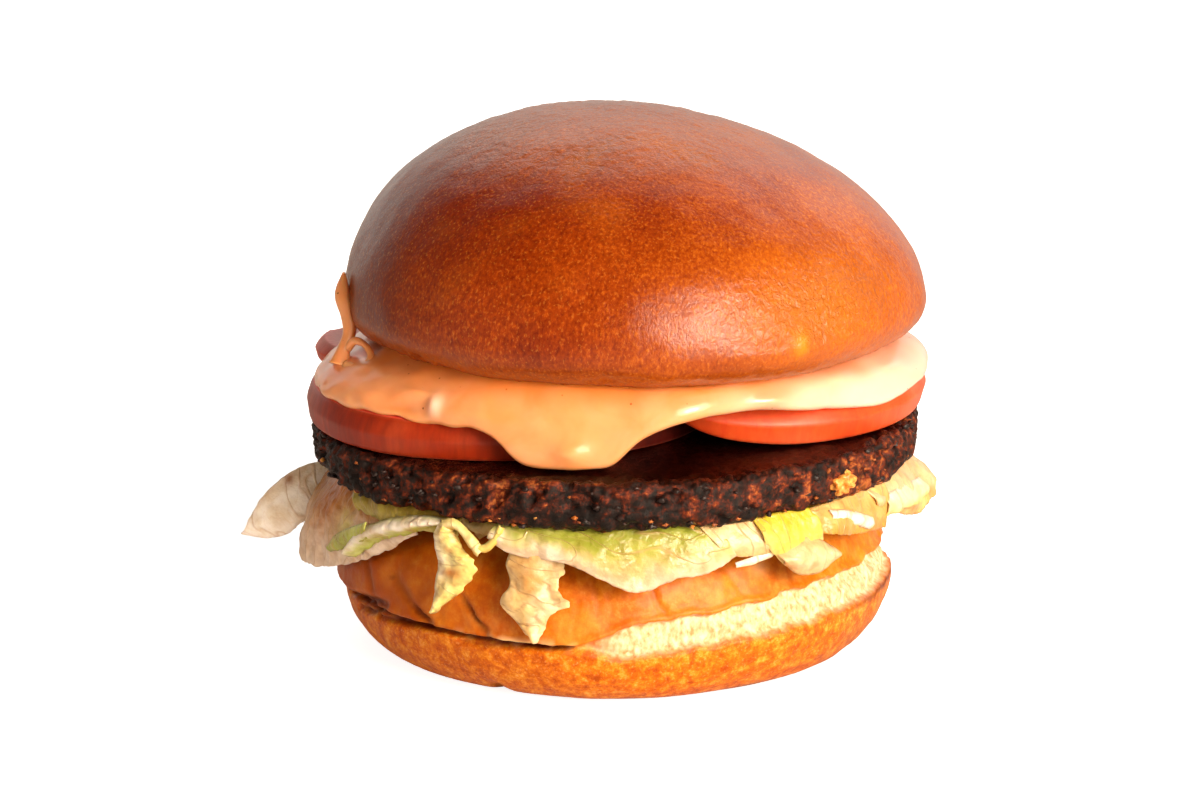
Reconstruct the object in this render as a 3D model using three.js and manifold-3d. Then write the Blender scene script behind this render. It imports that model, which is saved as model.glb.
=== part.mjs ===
// A plant-based burger in a brioche bun, in millimetres, +Z up.
// The origin is the middle of the heel's flat base, and the shown side faces -Y.
import * as THREE from "three";
import { mergeVertices } from "three/addons/utils/BufferGeometryUtils.js";
import Module from "manifold-3d";

const wasm = await Module();
wasm.setup();

// ---------------------------------------------------------------- driving dimensions
const CLEARANCE = 0.3;              // gap kept between neighbouring layers

const HEEL_BASE_RADIUS = 41;        // flat spot that the burger rests on
const HEEL_RADIUS = 51.4;
const HEEL_WIDEST_HEIGHT = 12;
const HEEL_TOP_RADIUS = 40;
const HEEL_HEIGHT = 29.4;
const HEEL_FOLD = 0.35;             // how deep the folds down its side are
const TEAR_HEIGHT = 10.6;           // the torn band round the heel's side
const TEAR_RISE = 4.4;              // how much higher it runs where it gapes widest
const TEAR_HALF_WIDTH = 0.9;
const TEAR_GAPE = 1.9;              // added to the half width where it gapes widest
const TEAR_DEPTH = 1.7;
const TEAR_AZIMUTH = -32;           // where it gapes widest, in front on the right
const TEAR_SPREAD = 58;             // degrees
const SKIN_SET_BACK = 1.5;          // the skin above the tear lies further in on the right
const SKIN_OVERHANG = 1.3;          // and further out on the left

const PATTY_RADIUS = 55.6;
const PATTY_THICKNESS = 8.3;
const PATTY_BOTTOM = 34.3;
const PATTY_EDGE_BOTTOM = 2.6;      // how far its lower and upper edges are rounded
const PATTY_EDGE_TOP = 1.8;
const PATTY_CRAG = 0.9;             // how far crags stand out of the rim
const PATTY_PIT = 0.4;              // how deep the pits in its faces are
const STACK_SLOPE = 0.012;          // patty and tomatoes rise this much per mm towards +X

const LEFT_TOMATO = { x: -19, y: -2, radius: 38.5, thickness: 6.7, rimBottom: 0.8, rimTop: 1.4 };
const RIGHT_TOMATO = { x: 19, y: 3, radius: 38, thickness: 7.4, rimBottom: 2.0, rimTop: 2.8 };
const BACK_TOMATO = { x: -38, y: 14.5, radius: 18.6, thickness: 5.4, rimBottom: 0.9, rimTop: 2.0 };
const SAG_LENGTH = 6;               // how fast a slice sags beside the slice that it lies on
const SAG_START = 3;                // it stays level this far past the lower slice's rim
const SQUEEZE = 1.5;                // a slice is thinner by this much where it lies on another

const CROWN_RADIUS = 54;
const CROWN_WIDEST_HEIGHT = 64;
const CROWN_TOP_HEIGHT = 99;
const CROWN_UNDERSIDE = 57.6;
const CROWN_UNDERSIDE_RADIUS = 46.5;
const CROWN_OFFSET = { x: 3.3, y: 2.5 };
const CROWN_LEAN = -5.7;            // how far the top of the dome leans towards -X
const CROWN_SLIM = 0.05;            // the dome is this share slimmer at its top than an ellipse
const CROWN_UNEVEN = 0.008;         // share of its radius

const SAUCE_INNER_RADIUS = 44;      // where the sauce comes out from under the crown
const SAUCE_REACH = 48.8;           // how far out it bulges where no slice carries it further
const SAUCE_TOP = CROWN_UNDERSIDE - CLEARANCE;
const SAUCE_LOW = 48.8;             // it laps over the slices' top edges
const SAUCE_FULLNESS = 0.6;         // 1 is an elliptic side, less is fuller
const SAUCE_UNDERCUT = 1.2;
const DRIP_AZIMUTH = -99;           // the drip in front, down to the patty's top
const DRIP_HALF_WIDTH = 15;         // degrees
const DRIP_DROP = 5.7;

const BED_RADIUS = 46;              // the packed middle of the lettuce
const BED_TOP = 33.4;
const LEAF_THICKNESS = 1.2;
const LEAF_WRAP_RADIUS = 54;        // leaves wrap round the stack at about this radius
const LEAF_ROUNDING = 0.26;         // how much shorter a leaf is at its sides
const LEAF_CELL = 6;                // about the width of a leaf's facets

// ---------------------------------------------------------------- small helpers
const rad = THREE.MathUtils.degToRad;
const lerp = THREE.MathUtils.lerp;

/** Signed angle in degrees from one azimuth to another, within -180 to 180. */
function turnBetween(azimuth, other) {
  return THREE.MathUtils.euclideanModulo(azimuth - other + 180, 360) - 180;
}

/** A bell of height 1 round an azimuth in degrees. */
function bell(azimuth, middle, spread) {
  return Math.exp(-((turnBetween(azimuth, middle) / spread) ** 2));
}

function azimuthOf(x, y) {
  return THREE.MathUtils.radToDeg(Math.atan2(y, x));
}

/** A repeatable row of numbers from 0 to 1. */
function seeded(seed) {
  let state = seed;
  return () => {
    state = (state * 16807) % 2147483647;
    return state / 2147483647;
  };
}

/** Joins shared vertices and drops triangles that have collapsed at a pole. */
function weld(geometry) {
  geometry.deleteAttribute("normal");
  geometry.deleteAttribute("uv");
  const merged = mergeVertices(geometry, 1e-4);
  const index = merged.getIndex().array;
  const kept = [];
  for (let i = 0; i < index.length; i += 3) {
    const [a, b, c] = index.slice(i, i + 3);
    if (a !== b && b !== c && c !== a) kept.push(a, b, c);
  }
  merged.setIndex(kept);
  return merged;
}

/** Moves each vertex of a geometry by a function of its place. */
function reshape(geometry, move) {
  const position = geometry.getAttribute("position");
  const place = new THREE.Vector3();
  for (let i = 0; i < position.count; i += 1) {
    place.fromBufferAttribute(position, i);
    move(place);
    position.setXYZ(i, place.x, place.y, place.z);
  }
  return geometry;
}

/** A body of revolution about Z from [radius, height] points, bottom pole to top pole. */
function turned(profile, sectors) {
  const points = profile.map(([radius, height]) => new THREE.Vector2(radius, height));
  const geometry = new THREE.LatheGeometry(points, sectors);
  geometry.rotateX(Math.PI / 2);
  return weld(geometry);
}

/** Points of a quarter ellipse from [r0, z0] to [r1, z1]; it leaves level and ends upright. */
function quarterOut([r0, z0], [r1, z1], steps) {
  return Array.from({ length: steps + 1 }, (_, i) => {
    const angle = (i / steps) * (Math.PI / 2);
    return [r0 + (r1 - r0) * Math.sin(angle), z0 + (z1 - z0) * (1 - Math.cos(angle))];
  });
}

/** The same from an upright start to a level end. */
function quarterIn([r0, z0], [r1, z1], steps) {
  return quarterOut([r1, z1], [r0, z0], steps).reverse();
}

function toSolid(geometry) {
  const vertProperties = new Float32Array(geometry.getAttribute("position").array);
  const triVerts = new Uint32Array(geometry.getIndex().array);
  return new wasm.Manifold(new wasm.Mesh({ numProp: 3, vertProperties, triVerts }));
}

/** A solid made larger all round by the clearance, which cuts the gap in its neighbours. */
function grown(geometry) {
  const larger = geometry.clone();
  larger.computeVertexNormals();
  const normal = larger.getAttribute("normal");
  const position = larger.getAttribute("position");
  for (let i = 0; i < position.count; i += 1) {
    position.setXYZ(
      i,
      position.getX(i) + CLEARANCE * normal.getX(i),
      position.getY(i) + CLEARANCE * normal.getY(i),
      position.getZ(i) + CLEARANCE * normal.getZ(i),
    );
  }
  return toSolid(larger);
}

/** The largest body of a solid, without scraps and without sealed hollows. */
function largestBody(solid) {
  return solid.decompose().reduce((best, body) => (body.volume() > best.volume() ? body : best));
}

function toGeometry(solid) {
  const mesh = solid.getMesh();
  const geometry = new THREE.BufferGeometry();
  geometry.setAttribute("position", new THREE.BufferAttribute(mesh.vertProperties, mesh.numProp));
  geometry.setIndex(new THREE.BufferAttribute(mesh.triVerts, 1));
  return geometry;
}

function piece(name, geometry, color, roughness) {
  const material = new THREE.MeshStandardMaterial({ color, roughness, metalness: 0 });
  geometry.computeVertexNormals();
  const mesh = new THREE.Mesh(geometry, material);
  mesh.name = name;
  return mesh;
}

// ---------------------------------------------------------------- heel of the bun
/** How far the heel's side is pushed in or out at an azimuth and a height. */
function heelRelief(azimuth, height) {
  const open = bell(azimuth, TEAR_AZIMUTH, TEAR_SPREAD);
  const middle = TEAR_HEIGHT + TEAR_RISE * open;
  const halfWidth = TEAR_HALF_WIDTH + TEAR_GAPE * open;
  const groove = Math.exp(-(((height - middle) / halfWidth) ** 4));
  const above = THREE.MathUtils.smoothstep(height, middle - 1, middle + 2);
  const setBack = SKIN_SET_BACK * bell(azimuth, -10, 60) - SKIN_OVERHANG * bell(azimuth, 180, 45);
  const folds = Math.sin(rad(7 * azimuth) + 0.12 * height) + Math.sin(rad(3 * azimuth + 40));
  return HEEL_FOLD * folds - above * setBack - groove * TEAR_DEPTH * lerp(0.45, 1, open);
}

function heel() {
  const widest = [HEEL_RADIUS, HEEL_WIDEST_HEIGHT];
  const profile = [
    [0, 0],
    [HEEL_BASE_RADIUS * 0.6, 0],
    ...quarterOut([HEEL_BASE_RADIUS, 0], widest, 8),
    ...quarterIn(widest, [HEEL_TOP_RADIUS, HEEL_HEIGHT], 9).slice(1),
    [HEEL_TOP_RADIUS * 0.55, HEEL_HEIGHT],
    [0, HEEL_HEIGHT],
  ];
  return reshape(turned(profile, 54), (place) => {
    const radius = Math.hypot(place.x, place.y);
    if (radius <= HEEL_BASE_RADIUS) return;
    const share = THREE.MathUtils.smoothstep(radius, HEEL_BASE_RADIUS, HEEL_BASE_RADIUS + 5);
    const relief = share * heelRelief(azimuthOf(place.x, place.y), place.z);
    place.x *= (radius + relief) / radius;
    place.y *= (radius + relief) / radius;
  });
}

// ---------------------------------------------------------------- patty
/** Height of the patty's top at x, which the tomato slices lie on. */
function pattyTop(x) {
  return PATTY_BOTTOM + PATTY_THICKNESS + STACK_SLOPE * x;
}

/** The charred disc: crags stand out of its rim, and its faces are pitted. */
function patty() {
  const bottom = PATTY_BOTTOM;
  const top = PATTY_BOTTOM + PATTY_THICKNESS;
  const middle = (bottom + top) / 2;
  const rimBottom = PATTY_RADIUS - PATTY_EDGE_BOTTOM;
  const rimTop = PATTY_RADIUS - PATTY_EDGE_TOP;
  const profile = [
    [0, bottom],
    [rimBottom * 0.7, bottom],
    ...quarterOut([rimBottom, bottom], [PATTY_RADIUS, bottom + PATTY_EDGE_BOTTOM], 2),
    [PATTY_RADIUS, middle],
    ...quarterIn([PATTY_RADIUS, top - PATTY_EDGE_TOP], [rimTop, top], 2),
    [rimTop * 0.85, top],
    [rimTop * 0.5, top],
    [0, top],
  ];
  const draw = seeded(41);
  return reshape(turned(profile, 76), (place) => {
    const distance = Math.hypot(place.x, place.y);
    const azimuth = azimuthOf(place.x, place.y);
    const onRim = THREE.MathUtils.smoothstep(distance, rimBottom * 0.7, rimBottom);
    const uneven = 0.6 * Math.sin(rad(4 * azimuth + 70)) + 0.4 * Math.sin(rad(9 * azimuth));
    const push = onRim * (PATTY_CRAG * (2 * draw() - 1.3) + uneven);
    const pit = distance > 1 ? PATTY_PIT * draw() : 0;
    place.z += STACK_SLOPE * place.x + pit * Math.sign(middle - place.z);
    const scale = distance > 1 ? (distance + push) / distance : 1;
    place.x *= scale;
    place.y *= scale;
  });
}

// ---------------------------------------------------------------- tomato slices
/** Height at which a slice lies over the patty, on or beside the slice below it. */
function restingHeight(x, y, below) {
  const level = pattyTop(x) + CLEARANCE;
  if (!below) return level;
  const beside = Math.max(0, Math.hypot(x - below.x, y - below.y) - below.radius - SAG_START);
  return level + (below.thickness + CLEARANCE) * Math.exp(-beside / SAG_LENGTH);
}

/** A slice from a number of rings and sectors. It bends over the slice below it, if any. */
function tomato(slice, below, rings, sectors) {
  const { radius, thickness } = slice;
  const shares = Array.from({ length: rings + 1 }, (_, i) => i / rings);
  const profile = [
    ...shares.map((share) => [share * (radius - slice.rimBottom), 0]),
    [radius - 0.3 * slice.rimBottom, 0.18 * thickness],
    [radius, 0.45 * thickness],
    [radius - 0.3 * slice.rimTop, 0.78 * thickness],
    ...shares.reverse().map((share) => [share * (radius - slice.rimTop), thickness]),
  ];
  return reshape(turned(profile, sectors), (place) => {
    const azimuth = azimuthOf(place.x, place.y);
    const uneven = 1 + 0.012 * Math.sin(rad(2 * azimuth + 30)) + 0.008 * Math.sin(rad(5 * azimuth));
    place.x = slice.x + place.x * uneven;
    place.y = slice.y + place.y * uneven;
    const rest = restingHeight(place.x, place.y, below);
    const lifted = (rest - restingHeight(place.x, place.y)) / LEFT_TOMATO.thickness;
    place.z = rest + place.z * (1 - (SQUEEZE / thickness) * lifted);
  });
}

// ---------------------------------------------------------------- crown of the bun
/** The crown's middle at a height: the dome leans to -X towards its top. */
function crownMiddle(height) {
  const share = Math.max(0, (height - CROWN_WIDEST_HEIGHT) / (CROWN_TOP_HEIGHT - CROWN_WIDEST_HEIGHT));
  return CROWN_OFFSET.x + CROWN_LEAN * share ** 1.5;
}

function crown() {
  const rise = CROWN_TOP_HEIGHT - CROWN_WIDEST_HEIGHT;
  const steps = 11;
  const dome = Array.from({ length: steps }, (_, i) => {
    const angle = (i + 1) * (Math.PI / 2 / steps);
    const slim = 1 - CROWN_SLIM * Math.sin(angle);
    return [CROWN_RADIUS * Math.cos(angle) * slim, CROWN_WIDEST_HEIGHT + rise * Math.sin(angle)];
  });
  dome[steps - 1][0] = 0;
  const profile = [
    [0, CROWN_UNDERSIDE],
    [CROWN_UNDERSIDE_RADIUS * 0.6, CROWN_UNDERSIDE],
    ...quarterOut([CROWN_UNDERSIDE_RADIUS, CROWN_UNDERSIDE], [CROWN_RADIUS, CROWN_WIDEST_HEIGHT], 5),
    ...dome,
  ];
  return reshape(turned(profile, 52), (place) => {
    const azimuth = azimuthOf(place.x, place.y);
    const distance = Math.hypot(place.x, place.y);
    const onSide = THREE.MathUtils.smoothstep(distance, 10, CROWN_UNDERSIDE_RADIUS);
    const lumps = Math.sin(rad(3 * azimuth + 20)) + 0.7 * Math.sin(rad(5 * azimuth + 0.9 * place.z));
    const scale = 1 + CROWN_UNEVEN * lumps * onSide;
    place.x = crownMiddle(place.z) + place.x * scale;
    place.y = CROWN_OFFSET.y + place.y * scale;
  });
}

// ---------------------------------------------------------------- sauce
/** Distance from the stack's axis to a slice's rim along an azimuth. */
function rimDistance(slice, azimuth) {
  const along = slice.x * Math.cos(rad(azimuth)) + slice.y * Math.sin(rad(azimuth));
  const aside = slice.x * Math.sin(rad(azimuth)) - slice.y * Math.cos(rad(azimuth));
  return along + Math.sqrt(slice.radius ** 2 - aside ** 2);
}

/** The sauce's outer reach and lowest edge at an azimuth. */
function sauceEdge(azimuth) {
  const drip = 1 / (1 + (Math.abs(turnBetween(azimuth, DRIP_AZIMUTH)) / DRIP_HALF_WIDTH) ** 6);
  const rim = Math.max(rimDistance(LEFT_TOMATO, azimuth), rimDistance(RIGHT_TOMATO, azimuth));
  const lap = 0.9 * bell(azimuth, -35, 40) - 0.4 * bell(azimuth, 180, 60) - 1.5 * bell(azimuth, 90, 60);
  const bare = bell(azimuth, 152, 22);
  const ripple = 0.5 * Math.sin(rad(8 * azimuth + 25)) + 0.4 * Math.sin(rad(13 * azimuth));
  return {
    reach: Math.max(SAUCE_REACH + (1 - drip) * ripple, lerp(rim + lap, SAUCE_REACH, bare)),
    low: SAUCE_LOW - DRIP_DROP * drip + 2.5 * bell(azimuth, -62, 18) + 1.8 * bell(azimuth, 4, 16),
  };
}

/** A filled round that bulges out from under the crown, before its neighbours are cut out of it. */
function sauceBlob() {
  const outerSteps = 6;
  const outer = Array.from({ length: outerSteps + 1 }, (_, i) => [1, i / outerSteps]);
  // This profile is a unit one: each azimuth scales its radius and its height.
  const profile = [[0, 0], [0.9, 0], ...outer, [0, 1]];
  return reshape(turned(profile, 56), (place) => {
    const share = Math.hypot(place.x, place.y);
    if (share === 0) {
      place.z = lerp(SAUCE_LOW, SAUCE_TOP, place.z);
      return;
    }
    const { reach, low } = sauceEdge(azimuthOf(place.x, place.y));
    const slump = Math.cos(place.z * (Math.PI / 2)) ** SAUCE_FULLNESS;
    const undercut = place.z === 0 ? SAUCE_UNDERCUT : 0;
    const edge = SAUCE_INNER_RADIUS + (reach - SAUCE_INNER_RADIUS) * slump - undercut;
    const radius = share > 0.95 ? edge : SAUCE_INNER_RADIUS;
    place.x *= radius / share;
    place.y *= radius / share;
    place.z = lerp(low, SAUCE_TOP, place.z);
  });
}

// ---------------------------------------------------------------- lettuce
// Azimuths in degrees, lengths in mm, tilt and droop in degrees downwards. Bank lifts one edge.
const FRONT_LEAVES = [
  { azimuth: 177, root: 40, height: 31.2, length: 32, width: 25, tilt: 2, droop: 42, bank: 34, tip: 0.62 },
  { azimuth: -155, root: 40, height: 32.2, length: 25, width: 34, tilt: 6, droop: 66, bank: -9, tip: 0.7 },
  { azimuth: -141, root: 43, height: 32, length: 13, width: 20, tilt: 20, droop: 80, bank: 6, tip: 0.8 },
  { azimuth: -126, root: 44, height: 31.6, length: 19, width: 8, tilt: 20, droop: 72, bank: 0, tip: 0.4 },
  { azimuth: -91, root: 42, height: 32.4, length: 17, width: 46, tilt: 8, droop: 56, bank: 3, tip: 0.72 },
  { azimuth: -106, root: 43, height: 30.6, length: 20, width: 12, tilt: 16, droop: 70, bank: 0, tip: 0.5 },
  { azimuth: -66, root: 43, height: 32.4, length: 14, width: 17, tilt: 10, droop: 58, bank: -4, tip: 0.9 },
  { azimuth: -49, root: 43, height: 32.4, length: 18, width: 17, tilt: 8, droop: 62, bank: 4, tip: 0.8 },
  { azimuth: -24, root: 42, height: 32.4, length: 19, width: 34, tilt: 0, droop: 32, bank: -3, tip: 0.6 },
];
const BACK_LEAF_COUNT = 7;

/** Leaves round the back, of mixed sizes like the ones in front. */
function backLeaves() {
  const draw = seeded(97);
  return Array.from({ length: BACK_LEAF_COUNT }, (_, i) => {
    const large = i % 2 === 0;
    return {
      azimuth: 8 + i * 23.5 + 6 * draw(),
      root: 41 + 2 * draw(),
      height: 31.4 + draw(),
      length: (large ? 15 : 17) + 6 * draw(),
      width: (large ? 27 : 12) + 6 * draw(),
      tilt: 10 * draw(),
      droop: 34 + 40 * draw(),
      bank: 10 * (draw() - 0.5),
      tip: 0.45 + 0.4 * draw(),
    };
  });
}

/** A point of a leaf: across runs from -1 to 1, along from 0 at the root to 1 at the tip. */
function leafPoint(leaf, across, along, lift) {
  const start = rad(leaf.tilt);
  const bend = rad(leaf.droop);
  const angle = start + bend * along;
  const reach = (leaf.length / bend) * (Math.sin(angle) - Math.sin(start));
  const drop = (leaf.length / bend) * (Math.cos(start) - Math.cos(angle));
  const narrowing = 1 - (1 - leaf.tip) * Math.max(0, 2 * along - 1) ** 2;
  const half = (leaf.width / 2) * narrowing;
  const edge = Math.abs(across) ** 2;
  const phase = rad(leaf.azimuth) * 5;
  const ruffle = 1.1 * along * Math.sin((across * leaf.width) / 7 + phase);
  const frill = 0.9 * edge * along * Math.sin(leaf.length * 0.3 * along + phase);
  const off = lift + ruffle + frill;
  const rounding = 1 - LEAF_ROUNDING * edge * along;
  const radius = leaf.root + reach * rounding + Math.sin(angle) * off;
  const height = leaf.height - drop * rounding + Math.cos(angle) * off;
  const azimuth = rad(leaf.azimuth) + (across * half * Math.cos(rad(leaf.bank))) / LEAF_WRAP_RADIUS;
  const banked = across * half * Math.sin(rad(leaf.bank)) * along;
  return [radius * Math.cos(azimuth), radius * Math.sin(azimuth), height + banked];
}

/** A thin wavy solid: two faces split alike, joined by a rim. */
function leafGeometry(leaf) {
  const columns = Math.max(3, Math.round(leaf.width / LEAF_CELL));
  const rows = Math.max(3, Math.round(leaf.length / LEAF_CELL));
  const face = new THREE.PlaneGeometry(2, 1, columns, rows);
  const flat = face.getAttribute("position");
  const faceIndex = Array.from(face.getIndex().array);
  const count = flat.count;
  const vertices = [];
  for (const lift of [LEAF_THICKNESS / 2, -LEAF_THICKNESS / 2]) {
    for (let i = 0; i < count; i += 1) {
      vertices.push(...leafPoint(leaf, flat.getX(i), 0.5 - flat.getY(i), lift));
    }
  }
  const index = [];
  for (let i = 0; i < faceIndex.length; i += 3) {
    const [a, b, c] = faceIndex.slice(i, i + 3);
    index.push(a, b, c, a + count, c + count, b + count);
  }
  const at = (column, row) => row * (columns + 1) + column;
  const rim = [];
  for (let column = 0; column < columns; column += 1) rim.push(at(column, 0));
  for (let row = 0; row < rows; row += 1) rim.push(at(columns, row));
  for (let column = columns; column > 0; column -= 1) rim.push(at(column, rows));
  for (let row = rows; row > 0; row -= 1) rim.push(at(0, row));
  rim.forEach((a, i) => {
    const b = rim[(i + 1) % rim.length];
    index.push(a, b, b + count, a, b + count, a + count);
  });
  const geometry = new THREE.BufferGeometry();
  geometry.setAttribute("position", new THREE.Float32BufferAttribute(vertices, 3));
  geometry.setIndex(index);
  return geometry;
}

function lettuceBed() {
  const bottom = HEEL_HEIGHT + CLEARANCE;
  const profile = [
    [0, bottom],
    [BED_RADIUS * 0.7, bottom],
    [BED_RADIUS - 1, bottom + 0.5],
    [BED_RADIUS, (bottom + BED_TOP) / 2],
    [BED_RADIUS - 1, BED_TOP - 0.4],
    [BED_RADIUS * 0.7, BED_TOP],
    [0, BED_TOP],
  ];
  return reshape(turned(profile, 32), (place) => {
    const azimuth = azimuthOf(place.x, place.y);
    const uneven = 1 + 0.03 * Math.sin(rad(6 * azimuth)) + 0.02 * Math.sin(rad(11 * azimuth + 50));
    place.x *= uneven;
    place.y *= uneven;
    place.z += place.z > bottom ? STACK_SLOPE * place.x : 0;
  });
}

function lettuce(neighbours) {
  const leaves = [...FRONT_LEAVES, ...backLeaves()].map((leaf) => toSolid(leafGeometry(leaf)));
  const heap = leaves.reduce((joined, leaf) => joined.add(leaf), toSolid(lettuceBed()));
  return clearOf(heap, neighbours);
}

// ---------------------------------------------------------------- the burger
/** What is left of a solid beside its neighbours, with the clearance to them. */
function clearOf(solid, neighbours) {
  const left = neighbours.reduce((rest, neighbour) => rest.subtract(grown(neighbour)), solid);
  return toGeometry(largestBody(left));
}

function burger() {
  const group = new THREE.Group();
  const heelBun = heel();
  const crownBun = crown();
  const disc = patty();
  const left = tomato(LEFT_TOMATO, null, 1, 44);
  const right = tomato(RIGHT_TOMATO, LEFT_TOMATO, 5, 38);
  const back = tomato(BACK_TOMATO, LEFT_TOMATO, 3, 26);
  const sauce = clearOf(toSolid(sauceBlob()), [left, right, back, crownBun, disc]);
  group.add(
    piece("heel_bun", heelBun, "#d98a35", 0.6),
    piece("shredded_lettuce", lettuce([heelBun, disc]), "#cdd08a", 0.5),
    piece("patty", disc, "#3a1d16", 0.7),
    piece("tomato_left", left, "#b43a20", 0.35),
    piece("tomato_right", right, "#e8603c", 0.35),
    piece("tomato_back", back, "#c66450", 0.35),
    piece("sauce", sauce, "#f2b27a", 0.25),
    piece("crown_bun", crownBun, "#a9521a", 0.3),
  );
  return group;
}

export default burger();
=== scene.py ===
# %% [markdown]
# # Dressing a plant-based burger
#
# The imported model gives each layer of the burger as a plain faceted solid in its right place.
# This lesson puts the real surfaces on them: egg-washed brioche, creamy sauce, wet tomato,
# a charred patty and limp iceberg lettuce. Everything is worked out in millimetres and stored
# in metres, in the model's own frame: +Z up, the shown side towards -Y.

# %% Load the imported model
import math
import random

import bmesh
import bpy
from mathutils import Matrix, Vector, noise


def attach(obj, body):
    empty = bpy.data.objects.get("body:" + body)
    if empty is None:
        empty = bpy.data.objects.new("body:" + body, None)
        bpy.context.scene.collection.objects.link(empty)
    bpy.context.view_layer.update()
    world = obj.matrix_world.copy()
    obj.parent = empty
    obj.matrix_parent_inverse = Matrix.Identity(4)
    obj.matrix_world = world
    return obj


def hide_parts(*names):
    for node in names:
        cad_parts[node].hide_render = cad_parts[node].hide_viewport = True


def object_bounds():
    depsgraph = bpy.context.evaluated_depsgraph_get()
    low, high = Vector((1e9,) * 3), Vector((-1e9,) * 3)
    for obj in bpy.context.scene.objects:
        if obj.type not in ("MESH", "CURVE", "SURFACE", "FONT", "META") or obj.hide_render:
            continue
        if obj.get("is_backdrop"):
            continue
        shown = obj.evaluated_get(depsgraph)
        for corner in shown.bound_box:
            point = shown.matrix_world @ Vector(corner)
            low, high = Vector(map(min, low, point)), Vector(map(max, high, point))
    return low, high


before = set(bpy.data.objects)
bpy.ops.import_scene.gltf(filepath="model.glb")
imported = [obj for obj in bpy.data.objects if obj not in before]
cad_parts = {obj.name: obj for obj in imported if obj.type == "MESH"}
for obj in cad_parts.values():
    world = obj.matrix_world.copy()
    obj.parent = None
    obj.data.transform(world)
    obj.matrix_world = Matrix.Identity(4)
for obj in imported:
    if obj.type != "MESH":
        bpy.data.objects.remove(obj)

scene = bpy.context.scene
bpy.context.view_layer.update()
print("nodes:", sorted(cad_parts))

# %% [markdown]
# ## Small tools
#
# A burger has no straight edge and nothing that repeats exactly, so most shapes here are a
# turned form that is pushed about by waves, bells and noise. A few short functions say how.

# %% Numbers and waves
MM = 0.001


def mix(start, end, share):
    return start + (end - start) * share


def ease(value, low, high):
    """0 below low, 1 above high, and smooth between them."""
    share = min(1.0, max(0.0, (value - low) / (high - low)))
    return share * share * (3 - 2 * share)


def turn_between(azimuth, other):
    """Signed angle in degrees from one azimuth to another."""
    return (azimuth - other + 180) % 360 - 180


def bell(azimuth, middle, spread):
    """A bell of height 1 round an azimuth."""
    return math.exp(-((turn_between(azimuth, middle) / spread) ** 2))


def hump(distance, spread):
    return math.exp(-((distance / spread) ** 2))


def wave(angle):
    return math.sin(math.radians(angle))


def azimuth_of(place):
    return math.degrees(math.atan2(place.y, place.x))


def radius_of(place):
    return math.hypot(place.x, place.y)


def grain(place, size, seed=0.0):
    """Smooth noise from -1 to 1 with features of a size in mm."""
    return noise.noise(place / size + Vector((seed, 2.3 * seed, -1.7 * seed)))


def grains(place, size, octaves, seed=0.0):
    """Noise with finer noise on top of it."""
    return noise.fractal(place / size + Vector((seed, 2.3 * seed, -1.7 * seed)), 0.8, 2.1, octaves)


def billow(place, size, seed):
    """Round lumps with sharp valleys between them, from 0 to about 0.7."""
    return abs(grain(place, size, seed))


print("wave at 90 degrees:", wave(90))

# %% Mesh tools
WELD = 0.002


def quarter_out(start, end, steps):
    """Quarter of an ellipse between two (radius, height) points: it leaves level and ends upright."""
    angles = [step / steps * math.pi / 2 for step in range(steps + 1)]
    return [
        (mix(start[0], end[0], math.sin(angle)), mix(start[1], end[1], 1 - math.cos(angle)))
        for angle in angles
    ]


def quarter_in(start, end, steps):
    """The same from an upright start to a level end."""
    return quarter_out(end, start, steps)[::-1]


def rings(start, end, height, step):
    """Level (radius, height) points between two radii, without the last one."""
    count = max(1, round(abs(end - start) / step))
    return [(mix(start, end, index / count), height) for index in range(count)]


def turned(profile, sectors):
    """Wraps a grid round Z. Its rows are a profile of (radius, height) in mm; seam and poles are welded."""
    bm = bmesh.new()
    rows = len(profile) - 1
    bmesh.ops.create_grid(bm, x_segments=sectors, y_segments=rows, size=0.5)
    for vert in bm.verts:
        angle = (vert.co.x + 0.5) * math.tau
        radius, height = profile[round((vert.co.y + 0.5) * rows)]
        vert.co = Vector((radius * math.cos(angle), radius * math.sin(angle), height)) * MM
    bmesh.ops.remove_doubles(bm, verts=bm.verts, dist=WELD * MM)
    bmesh.ops.recalc_face_normals(bm, faces=bm.faces)
    return bm


def reshape(bm, rule):
    """Moves each vertex to where the rule puts it; the rule works in mm."""
    for vert in bm.verts:
        vert.co = rule(vert.co / MM) * MM


def push_out(bm, depth):
    """Moves each vertex along its normal by a depth in mm."""
    bm.normal_update()
    pushes = [vert.normal * (depth(vert.co / MM) * MM) for vert in bm.verts]
    for vert, push in zip(bm.verts, pushes):
        vert.co += push


def paint(bm, name, rule):
    """Stores a number at each vertex, which a material can read by its name."""
    layer = bm.verts.layers.float.new(name)
    for vert in bm.verts:
        vert[layer] = rule(vert.co / MM)


def finish_piece(name, bm, material, slot, *nodes):
    """Makes the object, and says what it rides on and which nodes it stands for."""
    for face in bm.faces:
        face.smooth = True
    mesh = bpy.data.meshes.new(name)
    bm.to_mesh(mesh)
    bm.free()
    mesh.materials.append(material)
    piece = bpy.data.objects.new(name, mesh)
    scene.collection.objects.link(piece)
    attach(piece, "root")
    if nodes:
        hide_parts(*nodes)
    print(name, "has", len(mesh.polygons), "faces")
    return piece


# %% Material tools
BLACK, WHITE = "#000000", "#ffffff"


def linear(hex_colour):
    """Turns an sRGB hex colour into the linear one that a shader takes."""
    parts = [int(hex_colour[start:start + 2], 16) / 255 for start in (1, 3, 5)]
    return tuple(
        part / 12.92 if part < 0.0405 else ((part + 0.055) / 1.055) ** 2.4 for part in parts
    ) + (1.0,)


def per_mm(size):
    """The Scale of a pattern whose features measure a size in mm."""
    return 1 / (size * MM)


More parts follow.
